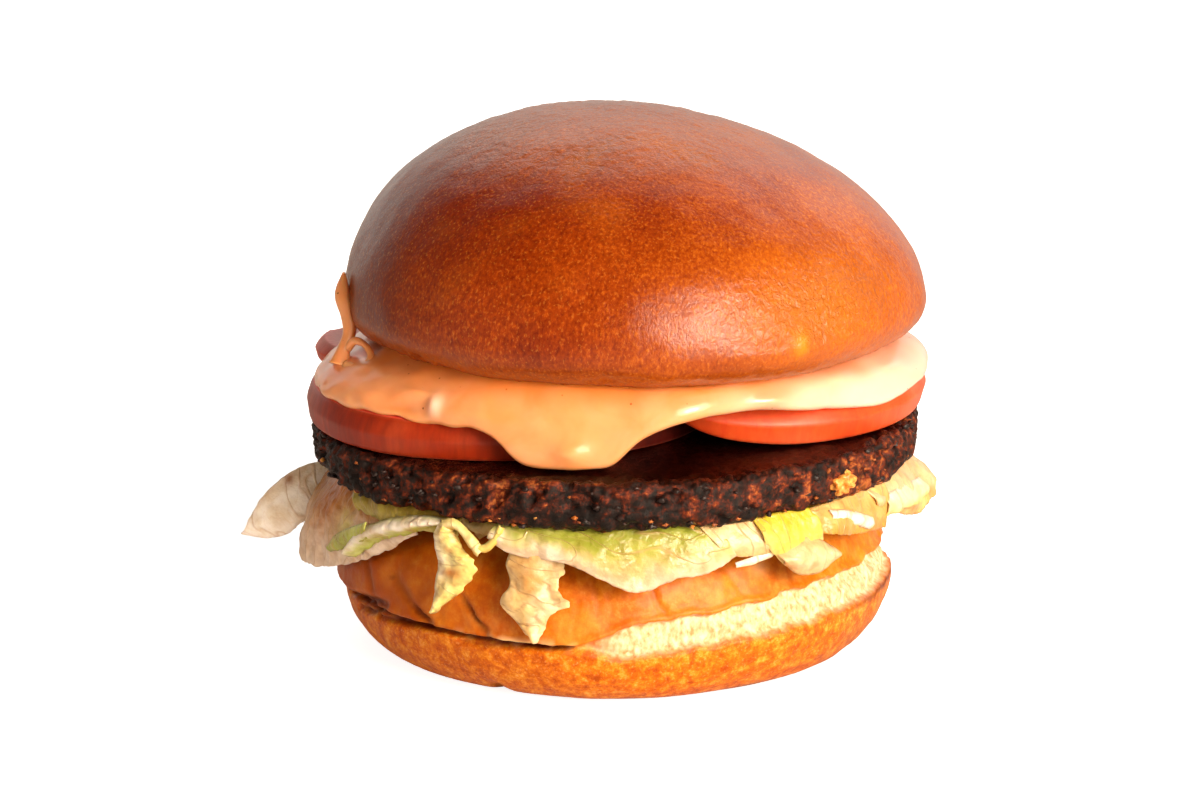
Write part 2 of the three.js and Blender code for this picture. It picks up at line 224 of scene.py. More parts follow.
def fill(node, inputs):
    """Gives a node's inputs a number, a hex colour or a link from another node."""
    for socket, value in inputs.items():
        if isinstance(value, bpy.types.NodeSocket):
            node.id_data.links.new(value, node.inputs[socket])
        else:
            node.inputs[socket].default_value = linear(value) if isinstance(value, str) else value


def add_node(tree, kind, inputs, stops=(), output=0, **settings):
    """Adds a node with its settings, inputs and ramp stops, and returns one of its outputs."""
    node = tree.nodes.new("ShaderNode" + kind)
    for name, value in settings.items():
        setattr(node, name, value)
    fill(node, inputs)
    for index, (position, colour) in enumerate(stops):
        ramp = node.color_ramp.elements
        stop = ramp[index] if index < 2 else ramp.new(position)
        stop.position = position
        stop.color = linear(colour)
    return node.outputs[output]


def new_material(name, attributes=(), **values):
    """A Principled material, with Object coordinates and the attributes that it reads."""
    material = bpy.data.materials.new(name)
    material.use_nodes = True
    tree = material.node_tree
    shader = tree.nodes["Principled BSDF"]
    fill(shader, {socket.replace("_", " "): value for socket, value in values.items()})
    coords = add_node(tree, "TexCoord", {}, output="Object")
    read = [add_node(tree, "Attribute", {}, output="Fac", attribute_name=key) for key in attributes]
    return material, tree, shader, coords, read


print("mid grey is", round(linear("#808080")[0], 3), "in linear light")

# %% [markdown]
# ## Camera, light and floor
#
# The photograph looks a little down on the burger, from the front, through a long lens. One
# large soft light stands in front on the right, with a brighter core that gives the glaze its
# highlight, and a weak fill on the left leaves none. Lamps above and behind show as the pale
# sheen along the top of the bun. Above the camera it is dark, so the front of the crown mirrors
# nothing and stays a deep orange. The world is bright near the horizon and dark overhead for
# that reason. The Standard view transform keeps the oranges as saturated as they are there.
# The floor is a matt white board, so bright that it melts into the background.

# %% Camera
CAMERA_PLACE = Vector((-2.8, -650, 206)) * MM
CAMERA_AIM = Vector((-2.8, 0, 44)) * MM
LENS, SENSOR_WIDTH = 108, 36

camera = bpy.data.objects.new("camera", bpy.data.cameras.new("camera"))
camera.data.lens = LENS
camera.data.sensor_width = SENSOR_WIDTH
camera.location = CAMERA_PLACE
camera.rotation_euler = (CAMERA_AIM - CAMERA_PLACE).to_track_quat("-Z", "Y").to_euler()
scene.collection.objects.link(camera)
scene.camera = camera
scene.view_settings.view_transform = "Standard"
scene.view_settings.look = "None"
print("camera is", round((CAMERA_AIM - CAMERA_PLACE).length, 3), "m away")


# %% Lights
LIGHT_AIM = Vector((0, 0, 0.05))


def soft_light(name, place, width, height, power, colour):
    """A rectangular softbox that points at the burger; its place is in metres, its power in watts."""
    light = bpy.data.lights.new(name, "AREA")
    light.shape = "RECTANGLE"
    light.size = width
    light.size_y = height
    light.energy = power
    light.color = linear(colour)[:3]
    lamp = bpy.data.objects.new(name, light)
    lamp.location = place
    lamp.rotation_euler = (LIGHT_AIM - Vector(place)).to_track_quat("-Z", "Y").to_euler()
    lamp.visible_camera = False
    scene.collection.objects.link(lamp)
    return lamp


soft_light("key_softbox", (0.65, -0.86, 0.46), 0.9, 0.7, 22, "#ffe8cc")
soft_light("key_core", (0.62, -0.86, 0.44), 0.36, 0.26, 8, "#fff0e0")
soft_light("overhead_softbox", (0.2, 1.05, 1.1), 1.7, 1.2, 9, "#fff4e8")
soft_light("background_glow", (0, 1.20, 0.45), 2.6, 1.1, 7, "#fff4ea")
left_fill = soft_light("left_fill", (-1.2, -0.70, 0.20), 0.9, 0.9, 7, "#ffe2c4")
left_fill.visible_glossy = False

# %% World
HORIZON_GLOW, OVERHEAD_GLOW, LEFT_GLOW = 0.2, 0.015, 0.1

world = bpy.data.worlds.new("studio")
world.use_nodes = True
scene.world = world
tree = world.node_tree
tree.nodes.clear()
sky = add_node(tree, "TexCoord", {}, output="Generated")
across, up = (add_node(tree, "SeparateXYZ", {"Vector": sky}, output=axis) for axis in ("X", "Z"))
glow = add_node(
    tree, "MapRange",
    {"Value": up, "From Min": 0.05, "From Max": 0.6, "To Min": HORIZON_GLOW, "To Max": OVERHEAD_GLOW},
    interpolation_type="SMOOTHSTEP",
)
left = add_node(
    tree, "MapRange",
    {"Value": across, "From Min": -0.35, "From Max": -0.95, "To Min": 0.0, "To Max": LEFT_GLOW},
    interpolation_type="SMOOTHSTEP",
)
glow = add_node(tree, "Math", {0: glow, 1: left}, operation="ADD")
room = add_node(tree, "Background", {"Color": "#ffe6cc", "Strength": glow})
backdrop = add_node(tree, "Background", {"Color": WHITE, "Strength": 1.0})
seen = add_node(tree, "LightPath", {}, output="Is Camera Ray")
both = add_node(tree, "MixShader", {0: seen, 1: room, 2: backdrop})
fill(tree.nodes.new("ShaderNodeOutputWorld"), {"Surface": both})
print("the world has", len(tree.nodes), "nodes")

# %% Floor
FLOOR_HALF = 8.0
FLOOR_GAP = 0.3 * MM
FLOOR_GLOW = 0.88

floor_material, tree, shader, _, _ = new_material(
    "white_board", Roughness=0.6, Specular_IOR_Level=0.1, Emission_Color=WHITE,
)
clouds = add_node(tree, "TexNoise", {"Scale": per_mm(300)})
paper = add_node(tree, "ValToRGB", {"Fac": clouds}, [(0.3, "#dedad6"), (0.7, "#e2dedb")])
seen = add_node(tree, "LightPath", {}, output="Is Camera Ray")
shine = add_node(tree, "Math", {0: seen, 1: FLOOR_GLOW}, operation="MULTIPLY")
fill(shader, {"Base Color": paper, "Emission Strength": shine})

bm = bmesh.new()
bmesh.ops.create_grid(bm, x_segments=4, y_segments=4, size=FLOOR_HALF)
bmesh.ops.translate(bm, verts=bm.verts, vec=(0, 0, -FLOOR_GAP))
floor_mesh = bpy.data.meshes.new("floor")
bm.to_mesh(floor_mesh)
bm.free()
floor_mesh.materials.append(floor_material)
floor = bpy.data.objects.new("floor", floor_mesh)
scene.collection.objects.link(floor)
floor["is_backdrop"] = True
print("floor is", 2 * FLOOR_HALF, "m wide")

# %% [markdown]
# ## The heel
#
# The lower half of the bun is a squat bowl of bread. Its side has torn open: a crack runs round
# it and gapes on the right, where soft pale crumb shows between the skin above and the browned
# crust below. The side is a turned profile with close rows, so that the crack, the lips of the
# skin and the fibres of the crumb are real relief. What was torn is stored as a number at each
# vertex, and the material reads it to know where crumb shows.

# %% Heel: sizes
HEEL_BASE_RADIUS = 41
HEEL_RADIUS = 51.4
HEEL_WIDEST_HEIGHT = 12
HEEL_TOP_RADIUS = 40
HEEL_HEIGHT = 29.4
HEEL_FOLD = 0.35
CRACK_HEIGHT = 12.0
CRACK_HALF_WIDTH = 0.42
GAPE_BEGINS, GAPE_ENDS = (-99, -86), (20, 60)
TEAR_RISE = 3.3
TEAR_GAPE = 2.45
TEAR_DEPTH = 1.7
SKIN_SET_BACK = 1.5
SKIN_OVERHANG = 1.3
NOTCH_AZIMUTH, NOTCH_WIDTH, NOTCH_HEIGHT = -117, 3.0, 2.8

# Slits and creases: azimuth and height of both ends, width and depth in mm, and how dark their painted shade is.
CREASE_DEPTH, CREASE_SHADE = 5, 6
CREASE_REACH = 24
CREASES = (
    (-157, 12.3, -143, 13.9, 0.85, 2.2, 1.0),
    (-156, 10.3, -147, 11.3, 0.6, 1.6, 1.0),
    (-163, 11.6, -160, 11.9, 0.7, 1.6, 1.0),
    (-146.6, 10.8, -131, 11.9, 0.55, 1.4, 1.0),
    (-122.5, 18.9, -115.3, 12.8, 0.6, 1.0, 0.7),
    (-134.5, 14.8, -129.6, 12.8, 0.8, 1.2, 0.8),
    (-141, 19.5, -134, 14.8, 0.9, 0.45, 0.35),
    (-152, 20, -147, 15, 0.8, 0.4, 0.35),
    (-122, 10.9, -99, 12.0, 0.5, 1.0, 0.7),
    (-83, 22.5, -81.6, 19.6, 0.5, 0.5, 0.25),
    (-81.6, 19.6, -79.6, 17.4, 0.5, 0.5, 0.25),
    (-94.8, 25, -93.2, 18.5, 0.45, 0.3, 0.15),
    (-97.5, 20, -98.4, 14.8, 0.5, 0.3, 0.15),
    (-66, 24, -63, 19.4, 0.7, 0.3, 0.12),
    (-48, 23, -46.5, 19.5, 0.6, 0.3, 0.12),
    (150, 11.5, 166, 12.6, 0.7, 1.2, 0.9),
    (118, 12.2, 133, 11.2, 0.5, 0.9, 0.8),
    (84, 12.0, 100, 12.8, 0.6, 1.0, 0.8),
    (66, 20, 70, 14, 0.7, 0.5, 0.3),
    (128, 21, 134, 15, 0.8, 0.4, 0.3),
)


def open_share(azimuth):
    """Where round the heel the crack gapes wide enough to show crumb."""
    return ease(azimuth, *GAPE_BEGINS) * (1 - ease(azimuth, *GAPE_ENDS))


def tear_at(place):
    """Middle height and half width of the torn band at a place on the heel's side."""
    azimuth = azimuth_of(place)
    level = Vector((place.x, place.y, 0))
    opened = open_share(azimuth)
    ragged = mix(0.25, 0.4, opened) * grain(level, 7, 3) + 0.25 * grain(level, 2.2, 5)
    rise = TEAR_RISE * ease(azimuth, -100, -52) * (1 - ease(azimuth, *GAPE_ENDS))
    stepped = 0.5 * ease(grain(level, 5, 7), -0.1, 0.1) * opened
    half = CRACK_HALF_WIDTH + TEAR_GAPE * opened + mix(0.12, 0.35, opened) * grain(level, 4, 9)
    return CRACK_HEIGHT + rise + ragged + stepped, max(0.2, half)


def tear_share(place):
    """1 inside the tear, 0 on the skin."""
    middle, half = tear_at(place)
    soft = 0.3 + 0.25 * open_share(azimuth_of(place))
    fuzz = 0.3 * grain(place, 0.9, 13) * open_share(azimuth_of(place))
    return 1 - ease(abs(place.z - middle) + fuzz, half - soft, half + soft)


def crease_at(place, column):
    """Sum of the creases at a place: of their depth in mm or of their painted shade."""
    azimuth = azimuth_of(place)
    total = 0.0
    for crease in CREASES:
        if abs(turn_between(azimuth, crease[0])) > CREASE_REACH:
            continue
        along = math.radians(turn_between(crease[2], crease[0])) * HEEL_RADIUS
        rise = crease[3] - crease[1]
        right = math.radians(turn_between(azimuth, crease[0])) * HEEL_RADIUS
        up = place.z - crease[1]
        share = min(1.0, max(0.0, (right * along + up * rise) / (along ** 2 + rise ** 2)))
        wobble = 0.35 * grain(place, 2.5, 17)
        away = math.hypot(right - share * along + wobble, up - share * rise + wobble)
        fading = 0.35 + 0.65 * math.sin(math.pi * (0.1 + 0.8 * share))
        total += crease[column] * hump(away, crease[4]) * fading
    return total


def skin_flakes(place, high):
    """Flakes of skin that peel along the crack in front, within a height in mm."""
    patches = ease(grain(place, 2.4, 44), 0.0, 0.25)
    return patches * hump(place.z - 12.4, high) * bell(azimuth_of(place), -110, 12)


def heel_relief(place):
    """How far the side is pushed in or out."""
    azimuth = azimuth_of(place)
    middle, half = tear_at(place)
    opened = open_share(azimuth)
    above = ease(place.z, middle - 1, middle + 2)
    set_back = SKIN_SET_BACK * bell(azimuth, -10, 60) - SKIN_OVERHANG * bell(azimuth, 180, 45)
    folds = wave(7 * azimuth + math.degrees(0.12 * place.z)) + wave(3 * azimuth + 40)
    lip = hump(place.z - middle - half - 0.6, 0.7) * (0.35 + 0.2 * opened)
    fibres = Vector((place.x, place.y, 0.8 * place.z))
    crumb = 0.3 * grains(fibres, 1.3, 3, 4) + 0.45 * grain(place, 3.2, 8)
    crumb -= 0.5 * ease(grain(place, 1.2, 41), 0.3, 0.5)
    share = tear_share(place)
    depth = mix(0.95, 1.0, opened) * TEAR_DEPTH
    return (
        HEEL_FOLD * folds
        - above * set_back
        - share * (depth - crumb)
        + lip
        + 0.5 * skin_flakes(place, 0.8)
        - crease_at(place, CREASE_DEPTH)
        + 0.3 * grain(place, 6, 1)
        + 0.12 * above * grain(Vector((place.x, place.y, 0.3 * place.z)), 2.6, 14)
        + 0.08 * grains(place, 1.4, 3, 2)
    )


def heel_place(place):
    radius = radius_of(place)
    if radius <= HEEL_BASE_RADIUS - 0.1:
        return place
    share = ease(radius, HEEL_BASE_RADIUS, HEEL_BASE_RADIUS + 5)
    azimuth = azimuth_of(place)
    aside = math.radians(turn_between(azimuth, NOTCH_AZIMUTH)) * HEEL_BASE_RADIUS
    notch = hump(aside, NOTCH_WIDTH / 2 * (1 - 0.5 * min(1, place.z / NOTCH_HEIGHT)))
    notch *= 1 - ease(place.z, 1, NOTCH_HEIGHT + 1)
    scale = (radius + share * heel_relief(place) - 2.4 * notch) / radius
    return Vector((place.x * scale, place.y * scale, place.z))


def painted_crack_shade(place):
    """Painted shade in recesses: the closed part of the crack, the slits and the notch."""
    azimuth = azimuth_of(place)
    aside = math.radians(turn_between(azimuth, NOTCH_AZIMUTH)) * HEEL_BASE_RADIUS
    notch = hump(aside, NOTCH_WIDTH / 2) * (1 - ease(place.z, 0.5, NOTCH_HEIGHT))
    closed = 1 - ease(azimuth, -106, -95) * (1 - ease(azimuth, 50, 66))
    return min(1.0, tear_share(place) * closed + crease_at(place, CREASE_SHADE) + 0.8 * notch)


def browning_and_base_shade(place):
    """Dark baked spots: the rim under the crumb on the right and burnt bits at the base, and a dark line along
    the base that is partly dark crust and partly painted contact shadow.
    """
    azimuth = azimuth_of(place)
    middle, half = tear_at(place)
    right_rim = hump(place.z - middle + half + 0.7, 0.7) * bell(azimuth, -12, 22)
    lower_right = 0.35 * bell(azimuth, -20, 22) * (1 - ease(place.z, 6, 10))
    burnt = hump(turn_between(azimuth, -57) / 4, 1) * (1 - ease(place.z, 0.6, 1.8))
    spots = ease(grain(place, 2.4, 52), 0.3, 0.5) * bell(azimuth, -143, 8) * hump(place.z - 19.5, 2)
    # Along the very base the heel is darker: partly dark crust, partly painted contact shadow.
    base = 0.6 * (1 - ease(place.z, 0.3, 1.1)) * ease(azimuth, -110, -100)
    return min(1.0, right_rim + lower_right + burnt + 0.7 * spots + base)


def peeled(place):
    """Pale flakes of skin that peel along the crack, and a patch above the tear."""
    patch = bell(azimuth_of(place), -58, 2.2) * hump(place.z - 24, 1.6)
    return min(1.0, skin_flakes(place, 0.9) + 0.5 * patch)


print("the tear is", round(2 * tear_at(Vector((44, -27, 14)))[1], 1), "mm high in front on the right")

# %% Heel: mesh
HEEL_SECTORS = 560


def on_side(rule):
    """The rule's value on the heel's side, and nothing on its flat base."""
    return lambda place: rule(place) if radius_of(place) > HEEL_BASE_RADIUS else 0.0


def painted_left_shade(place):
    """Painted shade: the left side, away from the light, is darker, most of all above the crack."""
    upper = mix(0.3, 1, ease(place.z, 11, 13))
    return bell(azimuth_of(place), -160, 42) * (0.8 + 0.6 * grain(place, 6, 19)) * upper


widest = (HEEL_RADIUS, HEEL_WIDEST_HEIGHT)
heel_profile = (
    rings(0, HEEL_BASE_RADIUS, 0, 8)
    + quarter_out((HEEL_BASE_RADIUS, 0), widest, 50)
    + quarter_in(widest, (HEEL_TOP_RADIUS, HEEL_HEIGHT), 68)[1:-1]
    + rings(HEEL_TOP_RADIUS, 0, HEEL_HEIGHT, 6)
    + [(0, HEEL_HEIGHT)]
)
heel_bmesh = bm = turned(heel_profile, HEEL_SECTORS)
paint(bm, "crumb", on_side(lambda place: tear_share(place) * open_share(azimuth_of(place))))
# The crack attribute is painted shade: near-black in the closed crack, the slits and the notch.
paint(bm, "crack", on_side(painted_crack_shade))
paint(bm, "browning_and_base_shade", on_side(browning_and_base_shade))
paint(bm, "peel", on_side(peeled))
# Painted shade on the heel's left side, away from the light.
paint(bm, "painted_left_shade", on_side(painted_left_shade))
paint(bm, "upper", lambda place: ease(place.z, tear_at(place)[0] - 0.3, tear_at(place)[0] + 0.3))
reshape(bm, heel_place)
print("heel has", len(bm.verts), "vertices")

# %% [markdown]
# ### Heel material: baked brioche
#
# Brioche crust is a thin satin skin that browned in the oven: golden where it was sheltered,
# darker where it stood out, with fine speckles where the dough's bubbles were. The crumb inside
# is pale, matt and soft, so a little light scatters in it.

# %% Heel material
heel_material, tree, shader, coords, (crumb_at, crack_shade_at, browning_and_base_shade_at, peel_at, upper_at, painted_left_shade_at) = new_material(
    "baked_brioche_heel", ("crumb", "crack", "browning_and_base_shade", "peel", "upper", "painted_left_shade"),
    Specular_IOR_Level=0.25, Subsurface_Weight=0.12, Subsurface_Scale=0.003, Subsurface_Radius=(1.0, 0.4, 0.1),
)
upright = add_node(tree, "Mapping", {"Vector": coords, "Scale": (1, 1, 0.6)})
cloud = add_node(tree, "TexNoise", {"Vector": coords, "Scale": per_mm(12), "Detail": 3})
mottle = add_node(tree, "TexNoise", {"Vector": coords, "Scale": per_mm(1.9), "Detail": 6, "Roughness": 0.72})
speck = add_node(tree, "TexNoise", {"Vector": coords, "Scale": per_mm(0.5), "Detail": 2})
streak = add_node(tree, "TexNoise", {"Vector": upright, "Scale": per_mm(3.5), "Detail": 4, "Roughness": 0.6})
fibre = add_node(tree, "TexNoise", {"Vector": upright, "Scale": per_mm(0.9), "Detail": 3})
skin = add_node(tree, "ValToRGB", {"Fac": cloud}, [(0.3, "#b45204"), (0.5, "#cc6a06"), (0.68, "#e08a20")])
crust = add_node(
    tree, "ValToRGB", {"Fac": mottle},
    [(0.34, "#aa4600"), (0.47, "#cc6404"), (0.57, "#e08414"), (0.68, "#f0ac48")],
)
flecks = add_node(tree, "ValToRGB", {"Fac": speck}, [(0.58, BLACK), (0.72, "#a0a0a0")])
dots = add_node(tree, "ValToRGB", {"Fac": speck}, [(0.3, "#909090"), (0.42, BLACK)])
# Pale upright streaks on the upper skin are painted highlights.
painted_streak_highlight = add_node(tree, "ValToRGB", {"Fac": streak}, [(0.48, BLACK), (0.66, "#808080")])
pale = add_node(tree, "ValToRGB", {"Fac": fibre}, [(0.3, "#d89460"), (0.46, "#ecbc90"), (0.7, "#f8dec0")])
lower, colour = crust, skin
for share, over in ((flecks, "#f2bc70"), (dots, "#a03c04")):
    lower = add_node(tree, "Mix", {0: share, 6: lower, 7: over}, output=2, data_type="RGBA")
for share, over in ((0.38, crust), (painted_streak_highlight, "#f6bc60")):
    colour = add_node(tree, "Mix", {0: share, 6: colour, 7: over}, output=2, data_type="RGBA")
colour = add_node(tree, "Mix", {0: upper_at, 6: lower, 7: colour}, output=2, data_type="RGBA")
# The darker brown on the heel's left side is painted shade.
# The near-black of the closed crack, the slits and the notch is painted shade.
for share, over in (
    (painted_left_shade_at, "#9c4204"), (browning_and_base_shade_at, "#6a2606"), (peel_at, "#f2c890"), (crumb_at, pale), (crack_shade_at, "#521902"),
):
    colour = add_node(tree, "Mix", {0: share, 6: colour, 7: over}, output=2, data_type="RGBA")
bump = add_node(tree, "Bump", {"Height": mottle, "Strength": 0.35, "Distance": 0.35 * MM})
bump = add_node(tree, "Bump", {"Height": speck, "Strength": 0.25, "Distance": 0.12 * MM, "Normal": bump})
rough = add_node(tree, "MapRange", {"Value": crumb_at, "To Min": 0.42, "To Max": 0.85})
fill(shader, {"Base Color": colour, "Normal": bump, "Roughness": rough})
finish_piece("heel", heel_bmesh, heel_material, "heel_crust", "heel_bun")

# %% [markdown]
# ## The patty
#
# The patty is pressed from chopped beans and vegetables and seared until its outside is char.
# Its rim shows lumps of 2 to 4 mm with gaps between them, and some lumps stay rust brown.
# The gaps are darkened with painted shade, and that shade and each lump's tone are stored at
# the vertices, so colour and relief fit together.

# %% Patty: sizes
PATTY_RADIUS = 55.6
PATTY_THICKNESS = 8.3
PATTY_BOTTOM = 34.3
PATTY_EDGE_BOTTOM = 2.6
PATTY_EDGE_TOP = 1.8
STACK_SLOPE = 0.012


def patty_place(place):
    """The rim's slow unevenness and the stack's tilt."""
    radius = radius_of(place)
    azimuth = azimuth_of(place)
    on_rim = ease(radius, 38, 53)
    uneven = 0.6 * wave(4 * azimuth + 70) + 0.4 * wave(9 * azimuth) - 0.2
    scale = 1 + on_rim * uneven / max(radius, 1)
    return Vector((place.x * scale, place.y * scale, place.z + STACK_SLOPE * place.x))


def patty_valley_shade(place):
    """Painted shade: near 1 in the valleys between lumps, less between the small ones."""
    large = 0.9 * (1 - ease(billow(place, 3.6, 6), 0.0, 0.07))
    return max(large, 0.7 * (1 - ease(billow(place, 1.9, 9), 0.0, 0.08)))


def patty_relief(place):
    """Lumps, the valleys between them, pits and a fine crust of char."""
    side = ease(radius_of(place), 47, 53)
    pits = ease(grain(place, 3.2, 12), 0.28, 0.45)
    shreds = Vector((place.x, place.y, 1.6 * place.z))
    return mix(0.35, 1.0, side) * (
        0.8 * grain(place, 8, 2)
        + 0.8 * (billow(place, 3.6, 6) - 0.2)
        + 0.7 * (billow(shreds, 1.9, 9) - 0.2)
        - 1.2 * pits * side
        + 0.32 * grains(place, 1.1, 3, 3)
    )


print("patty is", 2 * PATTY_RADIUS, "mm across")

# %% Patty: mesh
PATTY_SECTORS = 720
patty_top = PATTY_BOTTOM + PATTY_THICKNESS
rim_bottom = PATTY_RADIUS - PATTY_EDGE_BOTTOM
rim_top = PATTY_RADIUS - PATTY_EDGE_TOP
side_low = PATTY_BOTTOM + PATTY_EDGE_BOTTOM
side_high = patty_top - PATTY_EDGE_TOP
patty_profile = (
    rings(0, 44, PATTY_BOTTOM, 6)
    + rings(44, rim_bottom, PATTY_BOTTOM, 0.9)
    + quarter_out((rim_bottom, PATTY_BOTTOM), (PATTY_RADIUS, side_low), 9)
    + [(PATTY_RADIUS, mix(side_low, side_high, step / 9)) for step in range(1, 9)]
    + quarter_in((PATTY_RADIUS, side_high), (rim_top, patty_top), 7)
    + rings(rim_top - 0.7, 36, patty_top, 0.7)
    + rings(36, 0, patty_top, 6)
    + [(0, patty_top)]
)
patty_bmesh = bm = turned(patty_profile, PATTY_SECTORS)
reshape(bm, patty_place)
paint(bm, "gap", patty_valley_shade)
# Each lump's tone varies at random and grows lighter towards +X, the lit right side; that slope is painted light.
paint(bm, "lump", lambda place: (
    0.5 + 0.0016 * place.x + 0.4 * grain(place, 2.3, 22) + 0.35 * grain(place, 1.0, 24)
))
paint(bm, "seared", lambda place: (
    ease(place.z, patty_top - 1.2, patty_top) * (1 - ease(radius_of(place), 52, 55))
))
push_out(bm, patty_relief)
print("patty has", len(bm.verts), "vertices")

# %% [markdown]
# ### Patty material: char over seared vegetable
#
# Char is almost black and rough, but fat and juice have dried on it, so its lumps glint. On the
# flat top the sear is a wet dark red-brown that mirrors the light. Rust and golden lumps show
# where the patty's edge was less burnt.

# %% Patty material
patty_material, tree, shader, coords, (valley_shade_at, lump_tone_and_light_at, seared_at) = new_material(
    "charred_vegetable_patty", ("gap", "lump", "seared"), Specular_IOR_Level=0.22,
)
cloud = add_node(tree, "TexNoise", {"Vector": coords, "Scale": per_mm(13), "Detail": 2})
grit = add_node(tree, "TexNoise", {"Vector": coords, "Scale": per_mm(0.8), "Detail": 4, "Roughness": 0.75})
tone = lump_tone_and_light_at
for pattern, weight in ((grit, 1.7), (cloud, 1.1)):
    centred = add_node(tree, "Math", {0: pattern, 1: -0.5}, operation="ADD")
    tone = add_node(tree, "Math", {0: centred, 1: weight, 2: tone}, operation="MULTIPLY_ADD")
char = add_node(
    tree, "ValToRGB", {"Fac": tone},
    [(0.22, "#0a0403"), (0.4, "#20100b"), (0.55, "#3c180e"), (0.7, "#602512"),
     (0.85, "#7e3418"), (0.97, "#a85e2c")],
)
sear = add_node(tree, "ValToRGB", {"Fac": grit}, [(0.35, "#050000"), (0.55, "#160201"), (0.75, "#340704")])
colour = char
# The near-black in the valleys between lumps is painted shade.
for share, over in ((valley_shade_at, "#140503"), (seared_at, sear)):
    colour = add_node(tree, "Mix", {0: share, 6: colour, 7: over}, output=2, data_type="RGBA")
gloss = add_node(
    tree, "MapRange", {"Value": grit, "From Min": 0.35, "From Max": 0.65, "To Min": 0.3, "To Max": 0.8},
)
wet = add_node(tree, "MapRange", {"Value": seared_at, "To Min": 1.0, "To Max": 0.3})
rough = add_node(tree, "Math", {0: gloss, 1: wet}, operation="MULTIPLY")
bump = add_node(tree, "Bump", {"Height": grit, "Strength": 0.8, "Distance": 0.4 * MM})
fill(shader, {"Base Color": colour, "Normal": bump, "Roughness": rough})
finish_piece("patty_disc", patty_bmesh, patty_material, "charred_patty", "patty")

# %% [markdown]
# ### Loose bits on the patty
#
# Crumbs of char and a few rust lumps cling to the rim, and one large golden flake of sweetcorn
# sits in its right front. A crumb is a small icosphere with its corners moved by noise. They are
# scattered by a seeded draw, thickest along the lower edge, and joined into one mesh a kind.

# %% Bits on the patty
def crumb_at_place(bm, middle, size, seed):
    """Adds one uneven crumb to a mesh, in mm."""
    made = bmesh.ops.create_icosphere(bm, subdivisions=2, radius=size * MM)
    for vert in made["verts"]:
        out = vert.co.normalized()
        vert.co *= 1 + 0.9 * noise.noise(out * 1.5 + Vector((seed, -seed, 2 * seed)))
        vert.co.z *= 0.7
        vert.co += middle * MM


def rim_point(azimuth, height, out):
    """A point on the patty's rim at a height in mm, so far outside it."""
    radius = PATTY_RADIUS + out
    if height < side_low:
        share = (side_low - height) / PATTY_EDGE_BOTTOM
        radius -= PATTY_EDGE_BOTTOM * (1 - math.sqrt(max(0.0, 1 - share ** 2)))
    angle = math.radians(azimuth)
    return patty_place(Vector((radius * math.cos(angle), radius * math.sin(angle), height)))


def scatter_bits(name, count, sizes, material, seed, heights):
    """Crumbs all round the rim in one mesh; sizes and heights are ranges in mm."""
    draw = random.Random(seed)
    bm = bmesh.new()
    for index in range(count):
        azimuth = draw.uniform(-180, 180)
        height = mix(heights[0], heights[1], draw.random() ** 1.6)
        crumb_at_place(bm, rim_point(azimuth, height, -0.2), draw.uniform(*sizes), index + seed)
    return finish_piece(name, bm, material, "charred_patty")


def bit_material(name, dark, light, roughness):
    """Seared vegetable: one noise of just under a millimetre between two colours."""
    material, tree, shader, coords, _ = new_material(name, Roughness=roughness)
    grit = add_node(tree, "TexNoise", {"Vector": coords, "Scale": per_mm(0.8), "Detail": 3})
    tint = add_node(tree, "ValToRGB", {"Fac": grit}, [(0.35, dark), (0.65, light)])
    bump = add_node(tree, "Bump", {"Height": grit, "Strength": 0.5, "Distance": 0.2 * MM})
    fill(shader, {"Base Color": tint, "Normal": bump})
    return material


char_material = bit_material("char_crumbs", "#0e0605", "#2c120c", 0.5)
rust_material = bit_material("seared_bean", "#6d2c10", "#b8661f", 0.55)
corn_material = bit_material("seared_sweetcorn", "#d8741c", "#f4b45c", 0.4)
scatter_bits("char_crumbs", 170, (0.3, 0.8), char_material, 5, (34.8, 42.4))
scatter_bits("rust_crumbs", 70, (0.25, 0.6), rust_material, 8, (34.6, 41))
scatter_bits("golden_crumbs", 26, (0.2, 0.5), corn_material, 11, (34.4, 37))

CORN_AZIMUTH, CORN_HEIGHT, CORN_RADIUS = -43, 37.9, 2.6
bm = bmesh.new()
bmesh.ops.create_icosphere(bm, subdivisions=5, radius=CORN_RADIUS * MM)
corn_middle = rim_point(CORN_AZIMUTH, CORN_HEIGHT, -0.4)
for vert in bm.verts:
    out = vert.co.normalized()
    near, next_near = noise.voronoi(out / 0.8 + Vector((3, 3, 3)))[0][:2]
    gap = 1 - ease(next_near - near, 0.0, 0.35)
    vert.co *= 1 + 0.3 * noise.noise(out * 2.1) - 0.14 * gap
    vert.co.z *= 0.85
    vert.co += corn_middle * MM
finish_piece("corn_flake", bm, corn_material, "charred_patty")

# %% [markdown]
# ## The tomato slices
#
# A slice is a disc with the skin as its rim. It lies on the patty, and where it lies on another
# slice it bends down beside it. The skin is glossy and a little see-through, so light scatters
# in the flesh behind it, and the cut faces are paler. The left slice's peel is darker and redder
# than the right one's: partly a riper colour, partly painted shade from the sauce over it.

# %% Tomato: sizes
CLEARANCE = 0.3
SAG_LENGTH = 6
SAG_START = 3
SQUEEZE = 1.5
SLICE_SECTORS = 200
RIM_STEPS = 16
KEYS = ("x", "y", "radius", "thickness", "rim_bottom", "rim_top", "ripe_and_shaded")
SLICES = {
    "left": dict(zip(KEYS, (-18.5, -2, 38.3, 6.7, 0.8, 1.4, 1.0))),
    "right": dict(zip(KEYS, (19.8, 3, 38, 7.4, 2.0, 2.8, 0.0))),
    "back": dict(zip(KEYS, (-38, 14.5, 18.6, 5.4, 0.9, 2.0, 0.3))),
}


